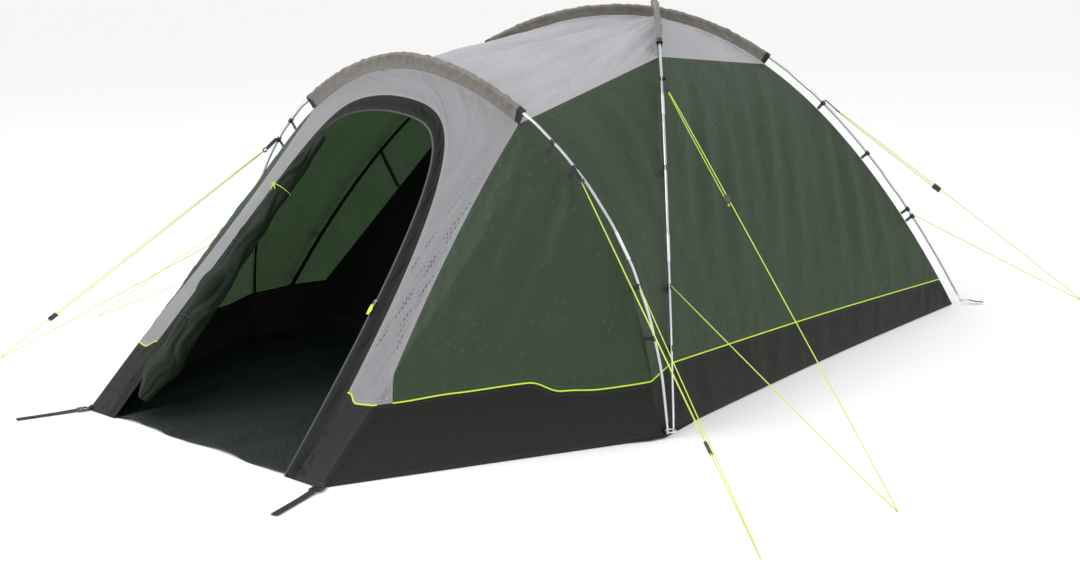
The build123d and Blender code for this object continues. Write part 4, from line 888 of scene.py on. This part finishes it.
hoop_stop = hoop_place(float(piping_height(0.97)) + 0.004)
for side, name in ((1, "right"), (-1, "left")):
    t, c = np.linspace(0, 1, 90)[:, None], np.linspace(0, 1, 90)[None, :]
    start = panel_seam(seam_foot * t)
    u = start + (hoop_stop - start) * c
    low_u = panel_seam(seam_foot) + (hoop_stop - panel_seam(seam_foot)) * c
    low_v = porch_at(low_u, piping_height(low_u))
    panel = pulled(porch(side * u, low_v * t), fold=0.0036, seed=41 + side)
    cloth_piece(f"porch_side_cloth_{name}", [panel], green_cloth,
                node=f"porch_side_panel_{name}")
    piping_lines.append(panel[-1])
    seam_strips += [seam_strip(panel, edge) for edge in "bl"]
    t = np.linspace(0, 1, 24)[:, None]
    first = border_edge(border_foot)[0]
    u = first + (FOLD - first) * np.linspace(0, 1, 16)[None, :]
    height = piping_height(u) * (1 - t) + HEM_HEIGHT * t
    front = pulled(porch(side * u, porch_at(u, height)), fold=0.0012, seed=51 + side)
    rim = GUSSET_FOOT * (1 - t[:, 0]) + HEM_HEIGHT * t[:, 0]
    last_u = np.array([hoop_place(h) for h in rim])[:, None]
    u = FOLD + (last_u - FOLD) * np.linspace(0, 1, 90)[None, :]
    height = piping_height(u) * (1 - t) + HEM_HEIGHT * t
    flank = pulled(porch(side * u, porch_at(u, height)), fold=0.0026, seed=53 + side)
    cloth_piece(f"mud_cloth_porch_{name}", [front, flank], charcoal_cloth,
                node=f"mud_wall_porch_{name}")
    cloth_piece(f"mud_cloth_side_{name}", mud_grids[name], charcoal_cloth,
                node=f"mud_wall_side_{name}")
    piping_lines += [front[0], flank[0][:2]]
cloth_piece("mud_cloth_rear", mud_grids["rear"], charcoal_cloth,
            node="mud_wall_rear")

# ---- Piping along the mud wall -----------------------------------------------------
# A lime cord covered in tape is sewn into the seam between the green and charcoal cloth.
PIPING_RADIUS = 0.0019
SHARP_CORD = 0.9


def swept(name, lines, profile, material, body="tent"):
    """A profile carried along rows of points; each point turns with its own line.

    The profile's first number runs outwards from the tent and its second along the cross
    of the line and that direction.
    """
    verts, faces, base = [], [], 0
    for line in lines:
        along = unit(np.gradient(line, axis=0))
        out = line - MIDDLE
        out = unit(out - along * (out * along).sum(1, keepdims=True))
        side_way = np.cross(along, out)
        ring = line[:, None] + out[:, None] * profile[None, :, :1]
        ring = ring + side_way[:, None] * profile[None, :, 1:]
        n, m = ring.shape[:2]
        verts.append(ring.reshape(-1, 3))
        quads = closed_grid(n, m) + base
        faces += quads.tolist()
        last = np.arange((n - 1) * m, n * m)
        faces += [(np.arange(m)[::-1] + base).tolist(), (last + base).tolist()]
        base += n * m
    piece = smooth_object(name, np.concatenate(verts).tolist(), faces, material)
    piece.data.set_sharp_from_angle(angle=SHARP_CORD)
    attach(piece, body)
    return piece


def round_profile(radius, count=8):
    """A circle of points for a cord."""
    turn = np.linspace(0, 2 * pi, count, endpoint=False)
    return np.stack([np.cos(turn), -np.sin(turn)], -1) * radius


lime_tape, tree, shader = new_material("lime_piping", LIME, 0.6)
place = add_node(tree, "ShaderNodeTexCoord").outputs["Object"]
ribs = noise(tree, place, 500.0, 2.0)
shaded(tree, shader, ribs.outputs["Fac"], (0.45, 0.68, 0.01), (0.72, 0.95, 0.06))
bumped(tree, shader, ribs.outputs["Fac"], 0.0004)
piping = swept("piping_cord", piping_lines, round_profile(PIPING_RADIUS), lime_tape)
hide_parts("hem_piping")

# ---- Pole sleeves and the tapes on their ends --------------------------------------
# Strips of tan-grey polyester are folded over the poles and sewn in under them, and a
# black tape binds each open end. They pucker where they go round the curve.
SLEEVE_RADIUS = 0.009
SLEEVE_SEAM = 0.002
TAPE_WIDTH, TAPE_THICKNESS = 0.018, 0.0008
CROSSING_LIFT = 0.008
THIN_CLOTH = 0.0006
sleeve_cloth = cloth_material("sleeve_cloth", (0.20, 0.185, 0.165), (0.34, 0.32, 0.30), dimples=0.0,
                              creases=1.6, depth=0.0012, lets_through=0.05)
tape_black = cloth_material("binding_tape", (0.012, 0.012, 0.012), (0.05, 0.05, 0.05), yarns=500.0,
                            ripstop=0.0, dimples=0.0, lets_through=0.0)


def sleeve_grid(poles, feet, grow=0.0, seed=3, puckers=0.0022):
    """Rows of a strip folded over a pole, from one edge on the seam round to the other.

    Its half width is 2 mm at the seam and eases out to the 9 mm radius round the pole.
    """
    drop = np.linalg.norm(poles - feet, axis=1)[:, None] - CLOTH
    up = unit(poles - feet)
    across = unit(np.cross(np.gradient(poles, axis=0), up))
    q = np.linspace(0, 1, 14)
    wide = SLEEVE_SEAM + (SLEEVE_RADIUS - SLEEVE_SEAM) * q ** 1.6
    turn = np.linspace(0, pi, 13)[1:-1]
    radius = SLEEVE_RADIUS + grow
    height = np.concatenate([-(1 - q), 0 * turn, -(1 - q[::-1])])[None, :] * drop
    height = height + np.concatenate([0 * q, radius * np.sin(turn), 0 * q])[None, :]
    width = np.concatenate([wide + grow, radius * np.cos(turn), -(wide + grow)[::-1]])[None, :]
    travelled = travel(poles)[:, None]
    lay = np.linspace(-1, 1, height.shape[1])[None, :]
    marks = ripples(travelled + 0.006 * lay, 0.03 * lay, 0.028, seed) * (1 - np.abs(lay) ** 6)
    marks = marks + 0.6 * ripples(travelled, 0.12 * lay, 0.075, seed + 5) * (1 - np.abs(lay) ** 6)
    swell = 1 + puckers / SLEEVE_RADIUS * 0.55 * marks
    width = width * np.clip(swell, 0.7, 1.5)
    height = height + np.maximum(marks, -1.0) * puckers * 0.35 * (np.abs(lay) < 0.5)
    return poles[:, None] + up[:, None] * height[..., None] + across[:, None] * width[..., None]


def leg_line(side, end, first, last, count, inset=0.0):
    """Points down a leg; the right pole passes 8 mm over the left one, and they ease back."""
    line = leg(side, end, np.linspace(first, last, count), inset)
    lift = 0.0 if inset else CROSSING_LIFT * (side if end == "front" else -side)
    return line + np.array([0, 0, lift]) * line[:, 2:] / DOME_HEIGHT


def sampled(line, travelled, stops):
    """Points of a line at some distances along it."""
    return np.stack([np.interp(stops, travelled, line[:, k]) for k in range(3)], 1)


def tape_rows(poles, feet, at_start):
    """The last 18 mm of a sleeve, grown by the thickness of the tape."""
    travelled = travel(poles)
    start = 0.0 if at_start else travelled[-1] - TAPE_WIDTH
    end = np.linspace(start, start + TAPE_WIDTH, 6)
    return sleeve_grid(sampled(poles, travelled, end), sampled(feet, travelled, end),
                       grow=TAPE_THICKNESS, puckers=0.0)


tape_grids = []
hoop_u = np.linspace(-HOOP_SLEEVE_END, HOOP_SLEEVE_END, 420)
hoop_poles, hoop_feet = hoop_arch(hoop_u), hoop_arch(hoop_u, SEAM_GAP)
sleeves = {"porch_sleeve": [(hoop_poles, hoop_feet, (True, True))]}


def crossing_line(leg_a, leg_b):
    """Pole and seam points from one leg's sleeve end over the crown to the other's."""
    rows = []
    for inset in (0.0, SEAM_GAP):
        a = leg_line(*leg_a, sleeve_end(leg_a), 0.0, 260, inset)
        b = leg_line(*leg_b, 0.0, sleeve_end(leg_b), 240, inset)
        rows.append(np.concatenate([a, b[1:]]))
    return rows


lower = crossing_line((-1, "front"), (1, "rear"))
sleeves["dome_sleeve_left"] = [(*lower, (True, True))]
sleeves["dome_sleeve_right"] = []
for one_leg in ((1, "front"), (-1, "rear")):
    poles = leg_line(*one_leg, 0.03, sleeve_end(one_leg), 240)
    feet = leg_line(*one_leg, 0.03, sleeve_end(one_leg), 240, SEAM_GAP)
    sleeves["dome_sleeve_right"].append((poles, feet, (False, True)))
for number_of, (name, pieces) in enumerate(sleeves.items()):
    grids = []
    for poles, feet, taped in pieces:
        grids.append(sleeve_grid(poles, feet, seed=60 + number_of))
        tape_grids += [tape_rows(poles, feet, start) for start, on in zip((True, False), taped) if on]
    cloth_piece(name.replace("sleeve", "sleeve_cloth"), grids, sleeve_cloth, node=name,
                thickness=THIN_CLOTH)
cloth_piece("seam_tapes", seam_strips, tape_black, thickness=THIN_CLOTH,
            declared=False)
cloth_piece("sleeve_tapes", tape_grids, tape_black, node="sleeve_end_tapes",
            thickness=THIN_CLOTH)

# ---- Inner tent: walls, roof, door flap, floor tub and hangers ---------------------
# Black breathable polyester hung from the outer tent on elastic straps. Its coated floor
# turns up 90 mm into a tub, and a flap in the front wall opens on its left edge.
INNER_GAP_SIDE, INNER_GAP_TOP = 0.125, 0.085
TUB_HEIGHT = 0.090
INNER_CROWN, INNER_SHOULDER = 0.10, 0.42
inner_cloth = cloth_material("inner_cloth", (0.010, 0.011, 0.011), (0.035, 0.035, 0.035),
                             yarns=700.0, ripstop=0.0, dimples=0.0, lets_through=0.04,
                             depth=0.0006, gloss=0.12, sheen=0.0)
floor_cloth = cloth_material("floor_cloth", (0.010, 0.0165, 0.0145), (0.05, 0.06, 0.06),
                             yarns=500.0, ripstop=0.8, dimples=0.0, creases=1.8,
                             lets_through=0.0, sheen=0.0, gloss=0.35)


def inner_leg(one_leg, w):
    """Points on a corner of the inner tent, 125 mm in from the pole and 85 mm below it."""
    return leg(*one_leg, w, INNER_GAP_SIDE, INNER_GAP_TOP)


def inner_foot(one_leg):
    """The corner of the inner tent at the top of the tub."""
    w = place_at(lambda w: inner_leg(one_leg, np.array(w)), TUB_HEIGHT)
    return inner_leg(one_leg, np.array(w))


def inner_line(one_leg, first, last, count):
    """Points down one corner of the inner tent, straight between crown, shoulder and foot."""
    crown, shoulder = (inner_leg(one_leg, np.array(w)) for w in (INNER_CROWN, INNER_SHOULDER))
    stops = np.stack([crown, shoulder, inner_foot(one_leg)])
    t = np.linspace(first, last, count)
    return np.stack([np.interp(t, [0, 1, 2], stops[:, k]) for k in range(3)], 1)


def hung(line_a, line_b, columns, seed, fold=0.004):
    """Slack cloth between two lines of points, with long soft folds."""
    c = np.linspace(0, 1, columns)[None, :, None]
    cloth = line_a[:, None] * (1 - c) + line_b[:, None] * c
    return pulled(cloth, pucker=0.0010, fold=fold, seed=seed)


INNER_WALLS = {
    "side_wall_right": ((1, "front"), (1, "rear")),
    "rear_wall": ((1, "rear"), (-1, "rear")),
    "side_wall_left": ((-1, "rear"), (-1, "front")),
}
for number_of, (name, (leg_a, leg_b)) in enumerate(INNER_WALLS.items()):
    wall = hung(inner_line(leg_a, 0, 2, 61), inner_line(leg_b, 0, 2, 61), 80, 70 + number_of)
    cloth_piece(f"inner_{name}_cloth", [wall], inner_cloth, node=f"inner_{name}")
CORNER_LEGS = ((1, "front"), (1, "rear"), (-1, "rear"), (-1, "front"))
crown = [inner_line(one_leg, 0, 0.001, 2)[0] for one_leg in CORNER_LEGS]
edge = np.linspace(0, 1, 24)[:, None]
front_edge = crown[3] * (1 - edge) + crown[0] * edge
rear_edge = crown[2] * (1 - edge) + crown[1] * edge
top = hung(front_edge, rear_edge, 16, 75, 0.002)
slope = hung(inner_line((-1, "front"), 0, 1, 40), inner_line((1, "front"), 0, 1, 40), 60, 76)
cloth_piece("inner_roof_cloth", [top, slope], inner_cloth, node="inner_roof")

# The front wall lies in one plane, so that the flap can close flush in it
shoulder, foot = inner_line((1, "front"), 1, 2, 2)
wall_rise = np.array([0, shoulder[1] - foot[1], shoulder[2] - foot[2]])
wall_height = float(np.linalg.norm(wall_rise))
wall_rise = wall_rise / wall_height
wall_out = np.cross([1.0, 0, 0], wall_rise)
FLAP_BOTTOM, FLAP_TOP = 0.060, wall_height - 0.340
FLAP_LOW_HALF, FLAP_HIGH_HALF = 0.310, 0.240
FLAP_GAP = 0.0009
SEAM_TRIM = 0.0009


def wall_point(x, h):
    """Points of the front wall's plane at x and a height h up its slope."""
    x, h = np.broadcast_arrays(x, h)
    level_way = np.array([1.0, 0, 0])
    return np.array([0, foot[1], foot[2]]) + x[..., None] * level_way + h[..., None] * wall_rise


outer = np.array([[-foot[0], 0], [foot[0], 0], [shoulder[0], wall_height], [-shoulder[0], wall_height]])
outer = outer + np.array([[1, 1], [-1, 1], [-1, -1], [1, -1]]) * SEAM_TRIM
low_half, high_half = FLAP_LOW_HALF + FLAP_GAP, FLAP_HIGH_HALF + FLAP_GAP
low_edge, high_edge = FLAP_BOTTOM - FLAP_GAP, FLAP_TOP + FLAP_GAP
hole = np.array([
    [-low_half, low_edge], [low_half, low_edge], [high_half, high_edge], [-high_half, high_edge],
])
FAR_BEHIND = MIDDLE + [0, 1.0, 0]
front_strips = []
for k in range(4):
    a, b, c, d = outer[k], outer[(k + 1) % 4], hole[k], hole[(k + 1) % 4]
    t, q = np.linspace(0, 1, 60)[:, None, None], np.linspace(0, 1, 20)[None, :, None]
    flat = (a * (1 - t) + b * t) * (1 - q) + (c * (1 - t) + d * t) * q
    soft = 0.0035 * np.sin(pi * q[..., 0]) * ripples(flat[..., 0], flat[..., 1] / 5, 0.12, 81)
    front_strips.append(wall_point(flat[..., 0], flat[..., 1]) + wall_out * soft[..., None])
cloth_piece("inner_front_wall_cloth", front_strips, inner_cloth, node="inner_front_wall",
            away=FAR_BEHIND)
t, c = np.linspace(0, 1, 50)[:, None], np.linspace(-1, 1, 44)[None, :]
height = FLAP_BOTTOM + (FLAP_TOP - FLAP_BOTTOM) * t
half = FLAP_LOW_HALF + (FLAP_HIGH_HALF - FLAP_LOW_HALF) * t
soft = 0.003 * np.sin(pi * t) * np.cos(pi * c / 2) * ripples(half * c, height / 5, 0.11, 83)
flap = wall_point(half * c, height) + wall_out * soft[..., None]
cloth_piece("inner_flap_cloth", [flap], inner_cloth, node="inner_door_flap", body="inner_door",
            away=FAR_BEHIND)

TUB_TOP, TUB_FOOT = 0.0895, 0.0015
corners = [inner_foot(one_leg)[:2] for one_leg in CORNER_LEGS]
tub = []
across, down = np.linspace(0, 1, 90)[None, :, None], np.linspace(0, 1, 90)[:, None, None]
near = corners[3] * (1 - across) + corners[0] * across
far = corners[2] * (1 - across) + corners[1] * across
plan = near * (1 - down) + far * down
inside = np.sin(pi * across[..., 0]) * np.sin(pi * down[..., 0])
level_z = 0.0016 + 0.0025 * np.sqrt(inside) * (1 + 0.5 * ripples(plan[..., 0], plan[..., 1], 0.16, 91))
tub.append(np.concatenate([plan, level_z[..., None]], -1))
for k in range(4):
    a, b = np.append(corners[k], TUB_FOOT), np.append(corners[(k + 1) % 4], TUB_FOOT)
    t = np.linspace(0, 1, 80)[None, :, None]
    rise = np.linspace(1, 0, 12)[:, None, None] * (TUB_TOP - TUB_FOOT)
    side_wall = a * (1 - t) + b * t + rise * np.array([0, 0, 1.0])
    tub.append(pulled(side_wall, pucker=0.0006, fold=0.0008, seed=93 + k))
cloth_piece("floor_tub_cloth", tub, floor_cloth, node="inner_floor_tub")

sheet_back = float(corners[0][1]) - 0.0006
TONGUE_LENGTH, SHEET_LEVEL = 0.22, 0.0013
BELOW_FRONT = np.array([0, -1.0, -1.0])
outline_y = np.array([FRONT_Y + 0.012, HOOP_Y - 0.020, sheet_back])
outline_x = np.array([FRONT_HALF_WIDTH + 0.0045, HOOP_HALF_WIDTH - 0.004, HOOP_HALF_WIDTH - 0.034])
t, c = np.linspace(0, 1, 110)[:, None], np.linspace(-1, 1, 110)[None, :]
sheet_y = outline_y[0] + (outline_y[2] - outline_y[0]) * t
sheet_x = np.interp(sheet_y, outline_y, outline_x) * c
front_wave = 0.006 * np.sin(9 * c) * np.exp(-t / 0.04)
bulge = (1 + 0.7 * ripples(sheet_x, sheet_y / 2, 0.17, 97)).clip(0) * (1 - np.abs(c) ** 8)
level_z = SHEET_LEVEL + 0.004 * bulge
ground = np.stack(np.broadcast_arrays(sheet_x, sheet_y + front_wave.clip(-0.004), level_z), -1)
tongues = []
for side in (-1, 1):
    t, c = np.linspace(0, 1, 20)[:, None], np.linspace(0, 1, 8)[None, :]
    beside = corners[0][0] + 0.004 + (outline_x[2] - corners[0][0] - 0.008) * c - 0.03 * t * c
    tongue_y = sheet_back + TONGUE_LENGTH * t + 0 * c
    tongues.append(np.stack([side * beside, tongue_y, SHEET_LEVEL + 0 * tongue_y], -1))
cloth_piece("porch_ground_cloth", [ground, *tongues], floor_cloth, node="porch_groundsheet",
            away=BELOW_FRONT)

# Webbing: ribs across a black woven tape, on the straps, tails and hangers
webbing, tree, shader = new_material("black_webbing", (0.014, 0.014, 0.015), 0.7)
place = add_node(tree, "ShaderNodeTexCoord").outputs["Object"]
wave = {"Vector": place, "Scale": 260.0, "Distortion": 1.5}
ribs = add_node(tree, "ShaderNodeTexWave", wave, bands_direction="DIAGONAL")
fuzz = noise(tree, place, 700.0, 3.0)
shaded(tree, shader, ribs.outputs["Fac"], (0.006, 0.006, 0.007), (0.018, 0.018, 0.020))
tree.links.new(number(tree, "MULTIPLY_ADD", fuzz.outputs["Fac"], 0.3, 0.5), shader.inputs["Roughness"])
bumped(tree, shader, ribs.outputs["Fac"], 0.0004)
wears(webbing, "inner_hangers", "corner_webbing", "guy_straps")
wears(black_plastic, "porch_pole_hooks", "dome_pole_hooks_right", "dome_pole_hooks_left",
      "ladder_lock_buckles", "guy_rings")

# ---- Door: coil zip, its slider, the rolled door and its ties ----------------------
# The zip runs down the right edge of the doorway from its top. Two tapes carry a coil of
# teeth; the slider is parked half-way with a lime pull. The door is rolled to the left.
ZIP_EDGE, ZIP_WIDTH, ZIP_START = 0.0001, 0.006, 12 / 32
zip_tape, tree, shader = new_material("zip_tape", (0.012, 0.013, 0.012), 0.6)
skin = use_group(tree, moulded, Grain=1400.0, Rubs=200.0)
tree.links.new(skin.outputs["Roughness"], shader.inputs["Roughness"])
shaded(tree, shader, skin.outputs["Height"], (0.006, 0.007, 0.006), (0.030, 0.032, 0.030))
bumped(tree, shader, skin.outputs["Height"], 0.0003)
zip_parts = np.linspace(-hem_part + 2 * hem_part * ZIP_START, hem_part, 400)
rows = [porch(*door_edge(zip_parts, ZIP_EDGE + ZIP_WIDTH * q)) for q in np.linspace(0, 1, 7)]
tape = np.stack(rows, 1)
tape_normals = surface_normals(tape)
cloth_piece("zip_tape_cloth", [tape], zip_tape, node="door_zip", thickness=0.0009,
            declared=False)
middle_line = porch(*door_edge(zip_parts, ZIP_EDGE + ZIP_WIDTH / 2))
travelled = travel(middle_line)
TOOTH_PITCH = 0.0022
TOOTH_HALF_SIZE = np.array([0.0012, 0.0007, 0.0003])
teeth_at = np.arange(0.004, travelled[-1] - 0.004, TOOTH_PITCH)
centre = sampled(middle_line, travelled, teeth_at)
along = unit(np.gradient(centre, axis=0))
out = unit(sampled(tape_normals[:, 3], travelled, teeth_at))
across = np.cross(out, along)
flat_ring = [[-1, -1], [1, -1], [1, 1], [-1, 1]]
tooth = np.array([[x, y, z] for z in (-1, 1) for x, y in flat_ring]) * TOOTH_HALF_SIZE
verts = centre[:, None] + across[:, None] * tooth[None, :, :1]
verts = verts + along[:, None] * tooth[None, :, 1:2] + out[:, None] * (tooth[None, :, 2:] + 0.0001)
tooth_faces = np.array([
    [0, 3, 2, 1], [4, 5, 6, 7], [0, 1, 5, 4], [1, 2, 6, 5], [2, 3, 7, 6], [3, 0, 4, 7],
])
faces = (tooth_faces[None] + 8 * np.arange(len(centre))[:, None, None]).reshape(-1, 4)
teeth = mesh_object("zip_teeth", verts.reshape(-1, 3).tolist(), faces.tolist())
teeth_plastic = plastic("zip_teeth", (0.02, 0.02, 0.02), 2000.0)
teeth.data.materials.append(teeth_plastic)
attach(teeth, "tent")

slider_metal = metal("zip_slider", (0.05, 0.05, 0.05), (0.16, 0.16, 0.16), 400.0)
wears(slider_metal, "door_zip_slider")
park_part, end_part = (arch_part(np.array(v), DOOR_TOP) for v in (0.555, 0.80))
park = porch(*door_edge(park_part, ZIP_EDGE + ZIP_WIDTH / 2))
run = unit(porch(*door_edge(end_part, ZIP_EDGE + ZIP_WIDTH / 2)) - park)
inwards = porch(*door_edge(park_part, 0.04)) - park
face = unit(np.cross(run, inwards))
face = face if face[1] < 0 else -face
sideways = np.cross(face, run)
PULL_START, PULL_LENGTH, PULL_WIDTH, PULL_LIFT = 0.018, 0.030, 0.006, 0.0075
t = np.linspace(0, 1, 16)[:, None, None]
w = np.linspace(-1, 1, 5)[None, :, None]
narrow = PULL_WIDTH * (0.45 + 0.55 * np.sin(pi * np.clip(t, 0.15, 0.85)))
pull = park + run * (PULL_START + PULL_LENGTH * t) + sideways * w * narrow
pull = pull + face * (PULL_LIFT + 0.0005 * np.cos(6 * t))
cloth_piece("zip_pull_tab", [pull], lime_tape, body="door_zip_slider",
            thickness=0.0012, declared=False, away=park)

# The rolled door: a bundle of folded cloth, tight at its ties and baggy between them
TIE_PLACES = (0.30, 0.47, 0.70)
TIE_RADIUS, TIE_CLEARANCE = 0.0013, 0.0008
TIE_REACH = TIE_CLEARANCE + 2 * TIE_RADIUS + 0.0041
ROLL_TOP, ROLL_FOOT = 0.15, 0.93
ROLL_RADII = (0.030, 0.058)
LOOP_TIGHTNESS, BOW_KNOT_RADIUS = 0.84, 0.0036


def roll_centre(v):
    """Centre and radius of the rolled door at a height on the porch cloth."""
    share = (v - ROLL_TOP) / (ROLL_FOOT - ROLL_TOP)
    radius = ROLL_RADII[0] + (ROLL_RADII[1] - ROLL_RADII[0]) * share
    inset = radius + TIE_REACH
    u, v = arch_edge(-arch_part(v, DOOR_TOP), DOOR_TOP + inset / PORCH_SLOPE, 1.0, DOOR_POWER)
    return porch(u * (DOOR_HALF_WIDTH - inset / FRONT_SCALE), v), radius


v = np.linspace(ROLL_TOP, ROLL_FOOT, 220)
centres, radii = roll_centre(v)
along = unit(np.gradient(centres, axis=0))
flat = unit(np.cross(along, [0.0, 0, 1.0]))
thick = np.cross(along, flat)
turn = np.linspace(0, 2 * pi, 120, endpoint=False)[None, :]
travelled = travel(centres)[:, None]
near_tie = np.min([np.abs(v - place) for place in TIE_PLACES], axis=0)[:, None]
tied = np.exp(-(near_tie / 0.035) ** 2)
ends = np.minimum(1, np.minimum(v - ROLL_TOP, ROLL_FOOT - v) / 0.09)[:, None] ** 0.6
wander = 1.3 * ripples(travelled, turn * 0.03, 0.30, 102)
wander = wander + 0.5 * ripples(travelled, turn * 0.03, 0.12, 104)
pleats = np.abs(np.sin(2.5 * turn + 5.0 * travelled + wander)) ** 0.7
minor = np.abs(np.sin(5.5 * turn - 9.0 * travelled + 1.7 * wander))
bag = 0.93 - 0.13 * tied + 0.09 * (1 - tied) * ripples(travelled, turn * 0.05, 0.16, 103)
bundle = bag - 0.20 * (1 - pleats) - 0.07 * (1 - minor) - 0.14 * np.abs(np.sin(turn)) * (1 - tied)
bundle = radii[:, None] * bundle * (0.30 + 0.70 * ends)
spokes = flat[:, None] * np.cos(turn)[..., None] + thick[:, None] * np.sin(turn)[..., None]
roll = centres[:, None] + spokes * bundle[..., None]
n, m = bundle.shape
points = np.concatenate([roll.reshape(-1, 3), centres[:1], centres[-1:]])
faces = closed_grid(n, m).tolist()
spin = np.arange(m)
after, last_row = (spin + 1) % m, (n - 1) * m
faces += np.stack([after, spin, np.full(m, n * m)], 1).tolist()
faces += np.stack([spin + last_row, after + last_row, np.full(m, n * m + 1)], 1).tolist()
rolled = smooth_object("rolled_door_bundle", points.tolist(), faces, dark_green_cloth)
layer = rolled.data.uv_layers.new(name="UVMap")
girth = (turn * 0.045 + 0 * travelled).reshape(-1)
length_way = (travelled + 0 * turn).reshape(-1)
flat_uv = np.stack([np.append(girth, [0, 0]), np.append(length_way, [0, travelled[-1, 0]])], 1)
loops = np.concatenate([np.array(face) for face in faces])
layer.data.foreach_set("uv", flat_uv[loops].astype(np.float32).ravel())
hem_values = np.append(np.full(n * m, 0.05), [0.05, 0.05]).astype(np.float32)
attribute = rolled.data.attributes.new("hem", "FLOAT", "POINT")
attribute.data.foreach_set("value", hem_values)
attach(rolled, "tent")
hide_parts("rolled_door")

# Ties: an elastic loop round the bundle at three heights, the top one lime
dark_cord, tree, shader = new_material("tie_cord", (0.015, 0.024, 0.018), 0.6)
woven = use_group(tree, braid, Turns=60.0, Strands=6.0)
shaded(tree, shader, woven.outputs["Fleck"], (0.012, 0.020, 0.015), (0.06, 0.08, 0.06))
for number_of, tie_v in enumerate(TIE_PLACES):
    middle_point, radius = roll_centre(np.array([tie_v]))
    step = roll_centre(np.array([tie_v + 0.01]))[0] - roll_centre(np.array([tie_v - 0.01]))[0]
    axis = unit(step[0])
    flat_way = unit(np.cross(axis, [0.0, 0, 1.0]))
    thick_way = np.cross(axis, flat_way)
    turn = np.linspace(0, 2 * pi, 64, endpoint=False)
    loop_radius = radius[0] * LOOP_TIGHTNESS
    cord_turn = np.linspace(0, 2 * pi, 10, endpoint=False)
    ring = loop_radius + TIE_RADIUS * np.cos(cord_turn)[None, :]
    spokes = flat_way * np.cos(turn)[:, None] + thick_way * np.sin(turn)[:, None]
    tie = middle_point + spokes[:, None] * ring[..., None]
    tie = tie + axis * (TIE_RADIUS * np.sin(cord_turn))[None, :, None]
    quads, wrap = closed_grid(64, 10), closed_grid(2, 10)
    last = np.where(wrap < 10, wrap + 63 * 10, wrap - 10)
    rings = np.concatenate([quads, last]).tolist()
    elastic_loop = knot_material if number_of == 0 else dark_cord
    piece = smooth_object(f"door_tie_{number_of + 1}", tie.reshape(-1, 3).tolist(), rings, elastic_loop)
    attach(piece, "tent")
    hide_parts("door_ties")
    if number_of == 0:
        # The bow: two loops and two ends that hang from the knot on the outer side
        outer_way = -thick_way if thick_way[1] > 0 else thick_way
        knot_at = middle_point[0] + outer_way * (loop_radius + 0.002)
        down_way = np.array([0.0, 0.0, -1.0])
        across_way = np.cross(outer_way, down_way)
        t = np.linspace(0, 1, 40)[:, None]
        bow_lines = []
        for side, drop, spread in ((1, 0.030, 0.020), (-1, 0.024, 0.024)):
            round_way = np.sin(pi * t) ** 0.8
            bulge = round_way * (0.3 + 0.7 * np.cos(pi * (t - 0.5)) ** 2)
            loop = knot_at + across_way * side * spread * bulge
            loop = loop + down_way * drop * (np.sin(pi * t) * 0.5 + 0.5 * np.sin(2 * pi * t) * 0.5)
            bow_lines.append(loop + outer_way * 0.006 * np.sin(pi * t))
            tail = knot_at + down_way * (0.052 + 0.006 * side) * t
            tail = tail + across_way * side * 0.016 * np.sin(2.4 * t)
            bow_lines.append(tail + outer_way * 0.006 * np.sin(pi * t))
        bow = swept("door_tie_bow", bow_lines, round_profile(TIE_RADIUS), knot_material)
        bow_knot = knot_piece("door_tie_knot", knot_at, BOW_KNOT_RADIUS)
        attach(bow_knot, "tent")
